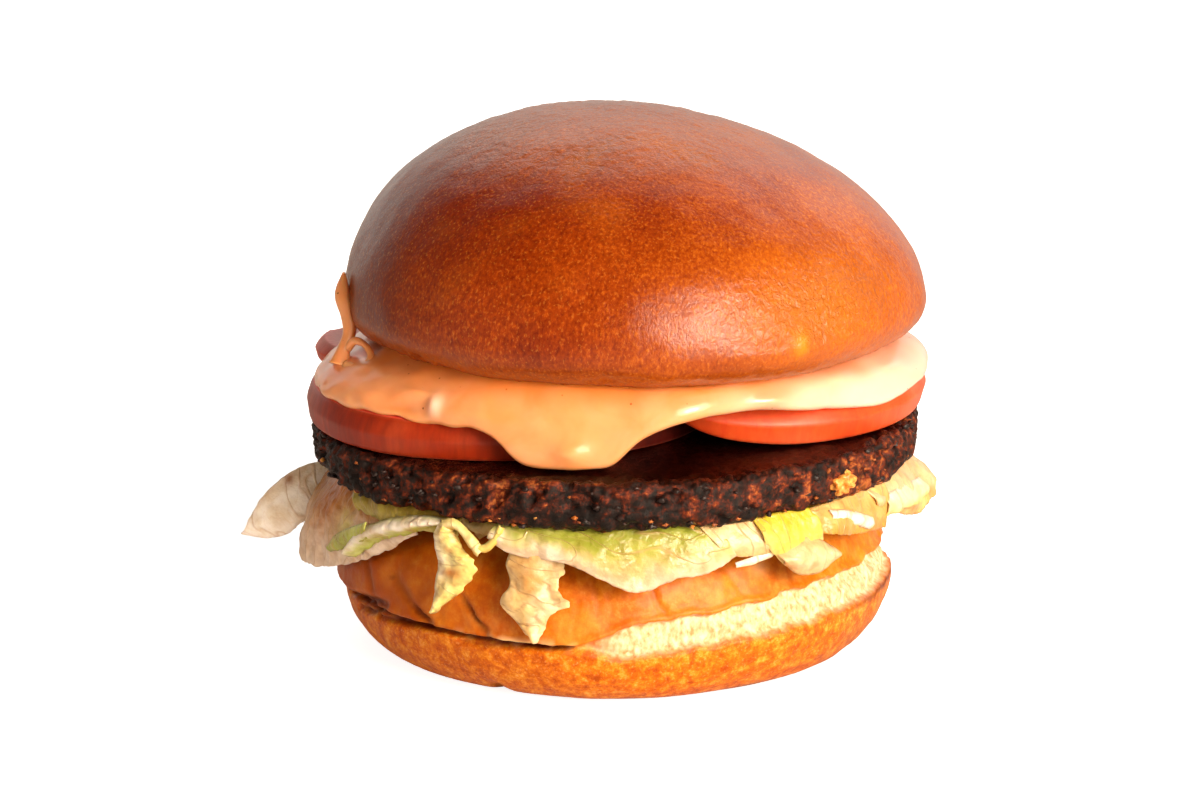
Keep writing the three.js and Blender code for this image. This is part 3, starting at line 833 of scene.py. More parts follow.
def resting_height(x, y, below):
    """Height at which a slice lies over the patty, on or beside the slice below it."""
    level = patty_top + STACK_SLOPE * x + CLEARANCE
    if below is None:
        return level
    distance = math.hypot(x - below["x"], y - below["y"])
    beside = max(0.0, distance - below["radius"] - SAG_START)
    return level + (below["thickness"] + CLEARANCE) * math.exp(-beside / SAG_LENGTH)


def slice_profile(cut):
    """A slice's outline: faces, a slanted rim and narrow rounded corners."""
    radius, thickness = cut["radius"], cut["thickness"]
    rim = []
    for step in range(RIM_STEPS + 1):
        share = step / RIM_STEPS
        low_inset = 0.5 * cut["rim_bottom"] * max(0.0, (0.5 - share) / 0.5)
        high_inset = 0.75 * cut["rim_top"] * max(0.0, (share - 0.5) / 0.5) ** 1.3
        corner = 0.35 * max(0.0, abs(2 * share - 1) - 0.8) / 0.2
        rim.append((radius - low_inset - high_inset - corner ** 2, mix(0.2, thickness - 0.2, share)))
    inner_low, inner_high = rim[0][0] - 0.35, rim[-1][0] - 0.35
    under, over = rings(0, inner_low, 0, 2), rings(inner_high, 0, thickness, 1.6)
    return under + [(inner_low, 0)] + rim + over + [(0, thickness)]


def slice_of_tomato(key, below, node):
    """A slice that lies on the patty and, where there is one, on the slice below it."""
    cut = SLICES[key]

    def settle(place):
        azimuth = azimuth_of(place)
        uneven = 1 + 0.012 * wave(2 * azimuth + 30) + 0.008 * wave(5 * azimuth)
        x = cut["x"] + place.x * uneven
        y = cut["y"] + place.y * uneven
        rest = resting_height(x, y, below)
        lifted = (rest - resting_height(x, y, None)) / SLICES["left"]["thickness"]
        return Vector((x, y, rest + place.z * (1 - SQUEEZE / cut["thickness"] * lifted)))

    def skin(place):
        begins = cut["radius"] - cut["rim_top"]
        lower, upper = ease(place.z, 0.0, 0.25), ease(place.z, cut["thickness"] - 0.25, cut["thickness"])
        return ease(radius_of(place), begins - 0.6, begins - 0.1) * lower * (1 - upper)

    bm = turned(slice_profile(cut), SLICE_SECTORS)
    paint(bm, "skin", skin)
    paint(bm, "inward", lambda place: 1 - radius_of(place) / cut["radius"])
    paint(bm, "ripe_and_shaded", lambda place: cut["ripe_and_shaded"])
    # Painted shade on the left slice's right front, where the right slice and the sauce overhang it.
    paint(bm, "sheltered", lambda place: (
        cut["ripe_and_shaded"] * ease(cut["x"] + place.x, -2, 6) * ease(-place.y, 5, 20)
    ))
    reshape(bm, settle)
    push_out(bm, lambda place: 0.1 * grain(place, 9, 4) + 0.03 * grain(place, 2, 7))
    return finish_piece("slice_" + key, bm, tomato_material, "tomato", node)


print("the patty's top carries the slices at", round(resting_height(0, 0, None), 1), "mm")

# %% Tomato material
tomato_material, tree, shader, coords, (skin_at, inward_at, ripe_and_shaded_at, slice_shade_at) = new_material(
    "ripe_tomato", ("skin", "inward", "ripe_and_shaded", "sheltered"), Roughness=0.45, Specular_IOR_Level=0.3,
    Subsurface_Weight=0.35, Subsurface_Scale=0.003, Subsurface_Radius=(1.0, 0.3, 0.12),
    Coat_Weight=0.15, Coat_Roughness=0.25,
)
upright = add_node(tree, "Mapping", {"Vector": coords, "Scale": (1, 1, 0.15)})
blush = add_node(tree, "TexNoise", {"Vector": coords, "Scale": per_mm(14), "Detail": 2})
fibre = add_node(tree, "TexNoise", {"Vector": upright, "Scale": per_mm(1.3), "Detail": 4, "Roughness": 0.6})
peel, red_peel = (
    add_node(tree, "ValToRGB", {"Fac": blush}, list(zip((0.3, 0.55, 0.75), colours)))
    for colours in (("#d8501c", "#e2622a", "#ec7c4c"), ("#a62604", "#b83408", "#cc5428"))
)
streaks = add_node(tree, "ValToRGB", {"Fac": fibre}, [(0.3, "#646464"), (0.7, "#9c9c9c")])
flesh = add_node(
    tree, "ValToRGB", {"Fac": inward_at},
    [(0.0, "#f2a684"), (0.06, "#ee8060"), (0.2, "#e0603a"), (0.3, "#d8481f")],
)
# The left slice's darker red is partly its own colour and partly painted shade.
for share, over in ((ripe_and_shaded_at, red_peel), (slice_shade_at, "#560e05")):
    peel = add_node(tree, "Mix", {0: share, 6: peel, 7: over}, output=2, data_type="RGBA")
peel, flesh = (
    add_node(tree, "Mix", {0: share, 6: under, 7: streaks}, output=2, data_type="RGBA", blend_type="OVERLAY")
    for share, under in ((0.7, peel), (1.0, flesh))
)
colour = add_node(tree, "Mix", {0: skin_at, 6: flesh, 7: peel}, output=2, data_type="RGBA")
bump = add_node(tree, "Bump", {"Height": fibre, "Strength": 0.25, "Distance": 0.2 * MM})
fill(shader, {"Base Color": colour, "Normal": bump, "Coat Normal": bump})
slice_of_tomato("left", None, "tomato_left")
slice_of_tomato("right", SLICES["left"], "tomato_right")
slice_of_tomato("back", SLICES["left"], "tomato_back")

# %% [markdown]
# ## The crown
#
# The upper half of the bun rose in the oven into a dome, brushed with egg, which leaves a thin
# clear glaze: a coat on its shader, which mirrors the studio. The skin under it has pores,
# streaks where it stretched near its lower edge, and a patch of fine wrinkles on the right front.
# Real pores of 0.1 mm wouldn't show, so they are drawn at about half a millimetre. The dome is a
# turned profile that leans back and left at its top, with lumps and wrinkles as relief.

# %% Crown: sizes
CROWN_RADIUS = 54
CROWN_WIDEST_HEIGHT = 64
CROWN_TOP_HEIGHT = 99
CROWN_UNDERSIDE = 57.6
CROWN_UNDERSIDE_RADIUS = 46.5
CROWN_OFFSET_X, CROWN_OFFSET_Y = 3.3, 2.5
CROWN_LEAN = -5.7
CROWN_SLIM = 0.05
CROWN_UNEVEN = 0.008


def crown_middle(height):
    """The dome's middle leans to -X towards its top."""
    share = max(0.0, (height - CROWN_WIDEST_HEIGHT) / (CROWN_TOP_HEIGHT - CROWN_WIDEST_HEIGHT))
    return CROWN_OFFSET_X + CROWN_LEAN * share ** 1.5


def crown_place(place):
    """The dome's lean and slow lumps."""
    azimuth = azimuth_of(place)
    outside = ease(radius_of(place), 10, CROWN_UNDERSIDE_RADIUS)
    lumps = wave(3 * azimuth + 20) + 0.7 * wave(5 * azimuth + 0.9 * place.z)
    scale = 1 + CROWN_UNEVEN * lumps * outside
    return Vector((
        crown_middle(place.z) + place.x * scale,
        CROWN_OFFSET_Y + place.y * scale,
        place.z,
    ))


WRINKLE_SPOT = Vector((36, -38, 70))
WET_SPOT = Vector((31.8, -42.4, 64.8))
# Middle of a faint reddish reflection on the crown's shaded left, painted into its colour.
REFLECTION_SPOT = Vector((-31.6, -42.6, 78.6))
# Azimuth and width in degrees, and depth in mm.
EDGE_NOTCHES = (
    (-139, 4.5, 1.3), (-131, 3, 0.8), (-92, 5, 0.7), (-150, 5, 0.9), (35, 5, 1.0), (95, 6, 1.1), (160, 5, 1.0),
)


def wrinkled(place):
    """How wrinkled the skin is: most on the right front, a little at the very top."""
    offset = place - WRINKLE_SPOT
    patch = math.exp(-(offset.x / 15) ** 2 - (offset.z / 8) ** 2) * ease(-place.y, 0, 20)
    return min(1.0, patch + 0.35 * ease(place.z, 88, 96) + 0.2 * ease(grain(place, 12, 7), 0.25, 0.6))


def crown_relief(place):
    """Lumps, wrinkles, the torn lower edge and the bead of egg wash, in mm."""
    amount = wrinkled(place)
    crease = billow(Vector((place.x, place.y, 0.8 * place.z)), 2.2, 3)
    edge = 1 - ease(place.z, CROWN_UNDERSIDE + 0.5, CROWN_UNDERSIDE + 7)
    streak = grain(Vector((place.x, place.y, 0.2 * place.z)), 1.6, 6)
    bead = hump((place - WET_SPOT).length, 2.2)
    azimuth = azimuth_of(place)
    torn = sum(
        depth * bell(azimuth, middle, width) for middle, width, depth in EDGE_NOTCHES
    ) * hump(place.z - CROWN_UNDERSIDE - 1.5, 1.8) * (0.6 + 0.8 * grain(place, 1.6, 33))
    return (
        0.3 * grain(place, 11, 1)
        + 0.12 * grain(place, 4, 2)
        - 0.55 * amount * (0.3 - crease)
        + 0.12 * amount * grains(place, 1.0, 2, 5)
        + 0.2 * edge * streak
        + 0.12 * edge * grain(place, 0.9, 12)
        - torn
        + 0.7 * bead
        + 0.03 * grain(place, 0.9, 9)
    )


print("crown is", 2 * CROWN_RADIUS, "mm across")

# %% Crown: mesh
CROWN_SECTORS = 480
DOME_STEPS = 150

dome_rise = CROWN_TOP_HEIGHT - CROWN_WIDEST_HEIGHT
dome = []
for step in range(1, DOME_STEPS):
    angle = step / DOME_STEPS * math.pi / 2
    slim = 1 - CROWN_SLIM * math.sin(angle)
    dome.append((CROWN_RADIUS * math.cos(angle) * slim, CROWN_WIDEST_HEIGHT + dome_rise * math.sin(angle)))
crown_profile = (
    rings(0, CROWN_UNDERSIDE_RADIUS, CROWN_UNDERSIDE, 5)
    + quarter_out((CROWN_UNDERSIDE_RADIUS, CROWN_UNDERSIDE), (CROWN_RADIUS, CROWN_WIDEST_HEIGHT), 26)
    + dome
    + [(0, CROWN_TOP_HEIGHT)]
)
crown_bmesh = bm = turned(crown_profile, CROWN_SECTORS)
paint(bm, "crumb", lambda place: (
    1 - ease(radius_of(place), CROWN_UNDERSIDE_RADIUS - 1.5, CROWN_UNDERSIDE_RADIUS)
    if place.z < CROWN_WIDEST_HEIGHT else 0
))
reshape(bm, crown_place)
paint(bm, "wrinkle", wrinkled)
paint(bm, "wet", lambda place: (
    0.8 * hump(math.hypot(1.8 * (place.x - WET_SPOT.x), place.z - WET_SPOT.z), 2.2) * ease(-place.y, 20, 30)
))
# The blush attribute is a painted reflection: a soft reddish spot on the crown's left.
paint(bm, "blush", lambda place: hump((place - REFLECTION_SPOT).length + 0.8 * grain(place, 1.2, 5), 2.2))
# The crust turns a lighter golden towards the lit front right: partly a lighter bake, partly painted light.
paint(bm, "golden_and_lit", lambda place: ease(place.x - 0.25 * place.y + 5 * grain(place, 14, 51), 0, 60))
# The crust darkens towards the back left, away from the light: partly a darker bake, partly painted shade.
paint(bm, "deep_and_shaded", lambda place: ease(-place.x + 0.3 * place.y + 5 * grain(place, 11, 57), 10, 52))
push_out(bm, crown_relief)
print("crown has", len(bm.verts), "vertices")

# %% Crown material
crown_material, tree, shader, coords, (crumb_at, wrinkle_at, wet_at, painted_reflection_at, golden_and_lit_at, deep_and_shaded_at) = new_material(
    "egg_washed_brioche", ("crumb", "wrinkle", "wet", "blush", "golden_and_lit", "deep_and_shaded"),
    Coat_Weight=0.65, Coat_Roughness=0.2, Coat_IOR=1.48, Specular_IOR_Level=0.08,
)
upright = add_node(tree, "Mapping", {"Vector": coords, "Scale": (1, 1, 0.6)})
cloud = add_node(tree, "TexNoise", {"Vector": coords, "Scale": per_mm(19), "Detail": 3})
mottle = add_node(tree, "TexNoise", {"Vector": upright, "Scale": per_mm(0.65), "Detail": 4, "Roughness": 0.7})
speck = add_node(tree, "TexNoise", {"Vector": upright, "Scale": per_mm(0.42), "Detail": 2})
crinkle = add_node(tree, "TexNoise", {"Vector": coords, "Scale": per_mm(1.3), "Detail": 4, "Distortion": 1.2})
tone, golden_lit_tone = (
    add_node(tree, "ValToRGB", {"Fac": mottle}, list(zip((0.34, 0.47, 0.58, 0.7), colours)))
    for colours in (("#6a1e00", "#802c00", "#903602", "#aa4c08"), ("#903800", "#a64800", "#b45a04", "#cc7816"))
)
shade = add_node(tree, "ValToRGB", {"Fac": cloud}, [(0.34, "#d8b898"), (0.6, WHITE)])
flecks = add_node(tree, "ValToRGB", {"Fac": speck}, [(0.57, BLACK), (0.74, "#9c9c9c")])
pits = add_node(tree, "ValToRGB", {"Fac": speck}, [(0.28, "#8c8c8c"), (0.42, BLACK)])
height = add_node(tree, "SeparateXYZ", {"Vector": coords}, output="Z")
low = add_node(
    tree, "MapRange",
    {"Value": height, "From Min": 57.5 * MM, "From Max": 67 * MM, "To Min": 1.0, "To Max": 0.0},
    interpolation_type="SMOOTHERSTEP",
)
stretch, deep_and_shaded, painted_wrinkle_light = (
    add_node(tree, "Math", {0: first, 1: second}, operation="MULTIPLY")
    for first, second in ((low, mottle), (deep_and_shaded_at, 0.45), (wrinkle_at, 0.45))
)
colour = add_node(tree, "Mix", {0: golden_and_lit_at, 6: tone, 7: golden_lit_tone}, output=2, data_type="RGBA")
colour = add_node(
    tree, "Mix", {0: 1.0, 6: colour, 7: shade}, output=2, data_type="RGBA", blend_type="MULTIPLY",
)
# The lighter orange on the wrinkled patch, where the key light falls, is a painted highlight.
for share, over in (
    (deep_and_shaded, "#58240a"), (painted_wrinkle_light, "#d88020"), (stretch, "#ac5008"), (pits, "#702402"),
    (flecks, "#d8822e"), (painted_reflection_at, "#e05038"), (wet_at, "#d8860c"), (crumb_at, "#f6e0b0"),
):
    colour = add_node(tree, "Mix", {0: share, 6: colour, 7: over}, output=2, data_type="RGBA")
gloss = add_node(
    tree, "MapRange", {"Value": mottle, "From Min": 0.35, "From Max": 0.65, "To Min": 0.4, "To Max": 0.56},
)
bump = add_node(tree, "Bump", {"Height": mottle, "Strength": 0.35, "Distance": 0.3 * MM})
bump = add_node(tree, "Bump", {"Height": speck, "Strength": 0.3, "Distance": 0.1 * MM, "Normal": bump})
bump = add_node(tree, "Bump", {"Height": crinkle, "Strength": wrinkle_at, "Distance": 0.8 * MM, "Normal": bump})
fill(shader, {"Base Color": colour, "Roughness": gloss, "Normal": bump, "Coat Normal": bump})
finish_piece("crown", crown_bmesh, crown_material, "crown_crust", "crown_bun")

# %% [markdown]
# ## The sauce
#
# A thick creamy sauce was squeezed out between crown and tomato. On the left it lies as a sheet
# on the slice, in front it runs down to the patty in one broad drip, and on the right it is a
# fat roll. It is one turned body: each azimuth has its own reach and lowest edge, its lip is
# round, and a few folds are added where the photograph shows them. It is an emulsion of oil and
# tomato, so light scatters in it and its surface is as glossy as wet paint, with specks of spice.

# %% Sauce: sizes
SAUCE_INNER_RADIUS = 44
SAUCE_REACH = 48.8
SAUCE_TOP = CROWN_UNDERSIDE + 0.6
SAUCE_LOW = 49.0
SAUCE_LIP = 1.1
DRIP_AZIMUTH = -101
DRIP_HALF_WIDTH = 13
DRIP_DROP = 5.7


def rim_distance(cut, azimuth):
    """Distance from the stack's axis to a slice's rim along an azimuth."""
    cosine, sine = math.cos(math.radians(azimuth)), math.sin(math.radians(azimuth))
    along = cut["x"] * cosine + cut["y"] * sine
    aside = cut["x"] * sine - cut["y"] * cosine
    return along + math.sqrt(max(0.0, cut["radius"] ** 2 - aside ** 2))


def sauce_edge(azimuth):
    """The sauce's outer reach and its lowest edge at an azimuth."""
    drip = 1 / (1 + (abs(turn_between(azimuth, DRIP_AZIMUTH)) / DRIP_HALF_WIDTH) ** 7)
    rim = max(rim_distance(SLICES["left"], azimuth), rim_distance(SLICES["right"], azimuth))
    lap = 0.9 * bell(azimuth, -35, 40) - 0.4 * bell(azimuth, 180, 60) - 1.5 * bell(azimuth, 90, 60)
    bare = bell(azimuth, 152, 22)
    ripple = 0.5 * wave(8 * azimuth + 25) + 0.4 * wave(13 * azimuth)
    reach = max(SAUCE_REACH + (1 - drip) * ripple, mix(rim + lap, SAUCE_REACH, bare))
    low = SAUCE_LOW - DRIP_DROP * drip + 3.4 * bell(azimuth, -70, 12) + 2.3 * bell(azimuth, -51, 12)
    low += 1.8 * bell(azimuth, 4, 16) + 0.22 * wave(17 * azimuth) * (1 - drip)
    low += 0.18 * wave(41 * azimuth + 30) * bell(azimuth, -145, 25)
    return reach, low


def sauce_place(place):
    """The unit profile holds 1 for the lip's outside and 2 for the slope above it."""
    share = radius_of(place)
    if share < 1e-6:
        return Vector((0, 0, mix(SAUCE_LOW, SAUCE_TOP, place.z)))
    azimuth = azimuth_of(place)
    reach, low = sauce_edge(azimuth)
    height = place.z
    if share < 0.95:
        radius = SAUCE_INNER_RADIUS * share / 0.9
        level = low + 0.6 if height < 0.5 else SAUCE_TOP
        scale = radius / share
        return Vector((place.x * scale, place.y * scale, level))
    fullness = mix(0.6, 1.15, bell(azimuth, -158, 46))
    slump = math.cos(max(0.0, height) * math.pi / 2) ** fullness
    radius = SAUCE_INNER_RADIUS + (reach - SAUCE_INNER_RADIUS) * slump
    level = mix(low + SAUCE_LIP, SAUCE_TOP, max(0.0, height))
    if height < 0:
        angle = -height * math.pi / 2
        radius -= SAUCE_LIP * (1 - math.cos(angle))
        level -= SAUCE_LIP * math.sin(angle)
    scale = radius / share
    return Vector((place.x * scale, place.y * scale, level))


RING_SPOT = Vector((-46.6, -14.5, 57))
# Azimuth and height, half widths in degrees and mm, and depth in mm.
FOLDS = (
    (-138.5, 51.3, 4.4, 1.3, -1.0),
    (-130.6, 52.2, 1.6, 2.0, 1.1),
    (-135.0, 53.7, 4.0, 0.7, 0.8),
    (-150.0, 52.2, 5.0, 0.9, 0.35),
    (-155.0, 55.0, 9.0, 0.8, 0.3),
    (-120.0, 51.6, 4.0, 1.2, 0.3),
    (-99.5, 46.6, 3.6, 2.2, 1.3),
    (-92.0, 49.0, 3.0, 2.6, -0.25),
    (-56.0, 53.8, 4.0, 1.1, 0.8),
    (-38.5, 54.8, 6.5, 1.6, 1.6),
    (-22.0, 54.4, 7.0, 1.6, 0.6),
    (-72.0, 56.6, 8.0, 0.9, 0.25),
    (150.0, 53.0, 7.0, 1.2, 0.4),
    (110.0, 54.0, 10.0, 1.4, 0.5),
    (60.0, 53.0, 9.0, 1.3, 0.5),
    (-161.0, 50.0, 3.0, 0.9, 0.5),
)


def sauce_relief(place):
    """Soft lumps, the folds, and a finer unevenness on the sheet at the left."""
    azimuth = azimuth_of(place)
    fold = sum(
        depth * bell(azimuth, middle, wide) * hump(place.z - height, high)
        for middle, height, wide, high, depth in FOLDS
    )
    sheet = bell(azimuth, -155, 40)
    return (
        0.3 * grain(place, 10, 3)
        + 0.1 * grain(place, 4, 5)
        + fold
        + 0.3 * sheet * grain(Vector((place.x, place.y, 2 * place.z)), 4, 8)
    )


print("the drip hangs down to", round(sauce_edge(DRIP_AZIMUTH)[1], 1), "mm")

# %% Sauce: mesh
SAUCE_SECTORS = 560
LIP_STEPS, SLOPE_STEPS = 7, 34


def thin_sauce(place):
    """Where the sauce is so thin that the slice shows through."""
    streak = 0.45 * bell(azimuth_of(place), -165, 12) * hump(place.z - 53, 1.6)
    return max(hump((place - RING_SPOT).length, 2.4), streak)


def pale_and_lit_sauce(place):
    """The sauce is paler on the lit right, partly its own colour and partly painted light, and the crest of the
    fold at the left is lightened as painted light.
    """
    crest = 0.9 * bell(azimuth_of(place), -129.6, 1.7) * hump(place.z - 52.3, 1.9)
    return max(ease(place.x + 6 * grain(place, 9, 61), 8, 46), crest)


def shaded_sauce(place):
    """The sauce is deeper in colour in the dent at the left and close under the crown."""
    dent = 0.5 * bell(azimuth_of(place), -138.5, 4.4) * hump(place.z - 51.3, 1.2)
    high = ease(place.z + 1.2 * grain(place, 6, 67), SAUCE_TOP - 5.5, SAUCE_TOP)
    return dent + 0.85 * high * ease(radius_of(place), 43.9, 44.1)


unit_profile = (
    [(0, 0), (0.4, 0), (0.8, 0), (0.9, 0)]
    + [(1, -1 + step / LIP_STEPS) for step in range(LIP_STEPS)]
    + [(1, step / SLOPE_STEPS) for step in range(SLOPE_STEPS + 1)]
    + [(0.9, 1), (0.6, 1), (0, 1)]
)
sauce_bmesh = bm = turned(unit_profile, SAUCE_SECTORS)
reshape(bm, sauce_place)
bmesh.ops.smooth_vert(bm, verts=bm.verts, factor=0.4, use_axis_x=True, use_axis_y=True, use_axis_z=True)
paint(bm, "thin", thin_sauce)
# Partly the sauce's paler colour, partly painted light on the lit right and on the fold's crest.
paint(bm, "pale_and_lit", pale_and_lit_sauce)
paint(bm, "shaded", shaded_sauce)
push_out(bm, sauce_relief)
print("sauce has", len(bm.verts), "vertices")

# %% Sauce material
sauce_material, tree, shader, coords, (thin_at, shaded_at, pale_and_lit_at) = new_material(
    "creamy_sauce", ("thin", "shaded", "pale_and_lit"), Roughness=0.34, Specular_IOR_Level=0.45,
    Subsurface_Weight=0.4, Subsurface_Scale=0.0025, Subsurface_Radius=(1.0, 0.5, 0.2),
    Coat_Weight=0.6, Coat_Roughness=0.1,
)
swirl = add_node(tree, "TexNoise", {"Vector": coords, "Scale": per_mm(10), "Detail": 3, "Distortion": 1.0})
spice = add_node(tree, "TexVoronoi", {"Vector": coords, "Scale": per_mm(3.6), "Randomness": 1.0})
colour = add_node(tree, "ValToRGB", {"Fac": swirl}, [(0.3, "#ee9858"), (0.7, "#f6ac78")])
spots = add_node(tree, "ValToRGB", {"Fac": spice}, [(0.04, WHITE), (0.07, BLACK)])
for share, over in ((pale_and_lit_at, "#f0cab6"), (spots, "#8a3c10"), (shaded_at, "#d4762c"), (thin_at, "#dc7a60")):
    colour = add_node(tree, "Mix", {0: share, 6: colour, 7: over}, output=2, data_type="RGBA")
bump = add_node(tree, "Bump", {"Height": swirl, "Strength": 0.15, "Distance": 0.5 * MM})
fill(shader, {"Base Color": colour, "Normal": bump, "Coat Normal": bump})
finish_piece("sauce_layer", sauce_bmesh, sauce_material, "sauce", "sauce")

# %% [markdown]
# ### Sauce string
#
# On the left a string of sauce hangs from the crown's edge down to the sheet. It is a circle
# extruded step by step along its path, wider at its foot.

# %% Sauce string and ring
def through(points, share):
    """A point on the smooth curve through a list of points, from share 0 to 1."""
    spans = len(points) - 1
    at = min(share * spans, spans - 1e-6)
    index = int(at)
    t = at - index
    p1, p2 = points[index], points[index + 1]
    p0 = points[index - 1] if index > 0 else p1 * 2 - p2
    p3 = points[index + 2] if index + 2 <= spans else p2 * 2 - p1
    return 0.5 * (2 * p1 + (p2 - p0) * t + (2 * p0 - 5 * p1 + 4 * p2 - p3) * t ** 2
                  + (3 * p1 - p0 - 3 * p2 + p3) * t ** 3)


ROPE_STEPS, ROPE_SIDES = 40, 20


def rope(name, path, radii, material, slot):
    """Extrudes a ring along a path of points in mm; the radii are taken smoothly along it."""
    path = [Vector(point) for point in path]
    bm = bmesh.new()
    ring = bmesh.ops.create_circle(bm, cap_ends=True, radius=1.0, segments=ROPE_SIDES)["verts"]
    widths = [Vector((radius, 0, 0)) for radius in radii]

    def place_ring(verts, share):
        middle = through(path, share)
        ahead = (through(path, min(1, share + 0.02)) - through(path, max(0, share - 0.02))).normalized()
        turn = ahead.to_track_quat("Z", "Y")
        radius = through(widths, share).x
        for index, vert in enumerate(verts):
            angle = math.tau * index / ROPE_SIDES
            around = Vector((math.cos(angle) * radius, math.sin(angle) * radius, 0))
            vert.co = (middle + turn @ around) * MM

    place_ring(ring, 0)
    edges = [edge for edge in bm.edges if all(vert in ring for vert in edge.verts)]
    for step in range(1, ROPE_STEPS + 1):
        grown = bmesh.ops.extrude_edge_only(bm, edges=edges)["geom"]
        new_verts = [item for item in grown if isinstance(item, bmesh.types.BMVert)]
        edges = [item for item in grown if isinstance(item, bmesh.types.BMEdge)
                 and all(vert in new_verts for vert in item.verts)]
        place_ring(new_verts, step / ROPE_STEPS)
    bmesh.ops.contextual_create(bm, geom=edges)
    bmesh.ops.recalc_face_normals(bm, faces=bm.faces)
    return finish_piece(name, bm, material, slot)


STRING_PATH = (
    (-49.6, -6, 69.5), (-49.7, -8.4, 66), (-48.5, -10.8, 62.6), (-48.4, -12, 59.4), (-49.4, -13, 56.6),
    (-50.2, -14, 54),
)
RING_PATH = (
    (-48.6, -13.4, 57.0), (-47.3, -14.2, 58.6), (-45.4, -15.6, 58.2), (-44.2, -17.0, 56.6),
    (-45.0, -18.0, 54.9), (-46.8, -17.6, 54.3), (-48.8, -15.6, 54.4),
)
rope("sauce_string", STRING_PATH, (0.3, 1.5, 1.5, 1.2, 1.3, 2.0), sauce_material, "sauce")
rope("sauce_ring", RING_PATH, (0.8, 0.75, 0.6, 0.65, 0.85, 0.9, 0.9), sauce_material, "sauce")

# %% [markdown]
# ## The lettuce
#
# Under the patty lies a handful of shredded iceberg lettuce. Its leaves are limp and thin: they
# bend over the heel's edge, ruffle at their hems, and let light through. A leaf is a grid laid
# between two curves, its root under the patty and its hem outside. Noise ruffles it and frays
# its edges, and a Solidify modifier gives it its thickness. Its colour runs from root to hem and
# is stored at the vertices, and its UV map is in millimetres, for the veins. Fresh leaf is waxy,
# so it has a thin gloss, and most of the light that goes in comes out again nearby.

# %% Lettuce material
leaf_material, tree, shader, coords, _ = new_material(
    "iceberg_leaf", Roughness=0.34, Specular_IOR_Level=0.45, Subsurface_Weight=0.22,
    Subsurface_Scale=0.001, Subsurface_Radius=(1.0, 0.9, 0.4), Coat_Weight=0.15, Coat_Roughness=0.18,
)
flat = add_node(tree, "UVMap", {}, uv_map="leaf_mm")
lengthwise = add_node(tree, "Mapping", {"Vector": flat, "Scale": (1, 0.4, 1)})
blister = add_node(tree, "TexNoise", {"Vector": coords, "Scale": per_mm(1.2), "Detail": 4})
patch = add_node(tree, "TexNoise", {"Vector": coords, "Scale": per_mm(3.5), "Detail": 4})
pale = add_node(tree, "ValToRGB", {"Fac": patch}, [(0.3, "#d8c8b0"), (0.58, WHITE)])
colour = add_node(tree, "Attribute", {}, attribute_name="tint")
colour = add_node(
    tree, "Mix", {0: 0.8, 6: colour, 7: pale}, output=2, data_type="RGBA", blend_type="MULTIPLY",
)
bump = add_node(tree, "Bump", {"Height": blister, "Strength": 0.6, "Distance": 0.5 * MM})
# Veins are thin branching lines: where a soft noise crosses its middle value.
MAIN_VEIN, VEINLET = "#c89a6c", "#d2ae7e"
for scale, width, grey, over in ((0.16, 0.016, "#b8b8b8", MAIN_VEIN), (0.42, 0.022, "#808080", VEINLET)):
    field = add_node(tree, "TexNoise", {"Vector": lengthwise, "Scale": scale, "Detail": 1.5, "Distortion": 0.4})
    level = add_node(tree, "Math", {0: field, 1: 0.5}, operation="SUBTRACT")
    level = add_node(tree, "Math", {0: level}, operation="ABSOLUTE")
    vein = add_node(tree, "ValToRGB", {"Fac": level}, [(0.0, grey), (width, BLACK)])
    colour = add_node(tree, "Mix", {0: vein, 6: colour, 7: over}, output=2, data_type="RGBA")
    if over == MAIN_VEIN:
        bump = add_node(tree, "Bump", {"Height": vein, "Strength": 0.7, "Distance": 0.4 * MM, "Normal": bump})
fill(shader, {"Base Color": colour, "Normal": bump, "Coat Normal": bump})
print("the leaf material has", len(tree.nodes), "nodes")

# %% Leaf tools
LEAF_THICKNESS = 0.3
LEAF_CELL = 0.42
VALLEY_BROWN_AND_SHADE = Vector(linear("#a8703c"))


def tint_at_share(tints, share):
    """A linear colour between evenly spread tints, at a share from root to hem."""
    spans = len(tints) - 1
    at = min(max(share, 0.0) * spans, spans - 1e-6)
    index = int(at)
    first, second = linear(tints[index]), linear(tints[index + 1])
    return Vector([mix(a, b, ease(at - index, 0, 1)) for a, b in zip(first, second)])


def curve_length(points):
    return sum((second - first).length for first, second in zip(points, points[1:]))


def finish_leaf(name, bm, tinted):
    """Colours a leaf, gives it its thickness and says that it stands for the lettuce."""
    tint = bm.verts.layers.float_color.new("tint")
    for vert, colour in zip(bm.verts, tinted):
        vert[tint] = colour
    piece = finish_piece(name, bm, leaf_material, "lettuce", "shredded_lettuce")
    wall = piece.modifiers.new("thickness", "SOLIDIFY")
    wall.thickness = LEAF_THICKNESS * MM
    wall.offset = 0
    return piece


def leaf_grid(width, length, shift, long_veins=False):
    """A flat grid of unit size with a UV map in mm, as large as the leaf that it becomes."""
    bm = bmesh.new()
    columns, rows = (max(8, round(size / LEAF_CELL)) for size in (width, length))
    bmesh.ops.create_grid(bm, x_segments=columns, y_segments=rows, size=0.5)
    uv = bm.loops.layers.uv.new("leaf_mm")
    for face in bm.faces:
        for corner in face.loops:
            place = ((corner.vert.co.x + 0.5) * width + shift, (corner.vert.co.y + 0.5) * length)
            corner[uv].uv = place[::-1] if long_veins else place
    return bm


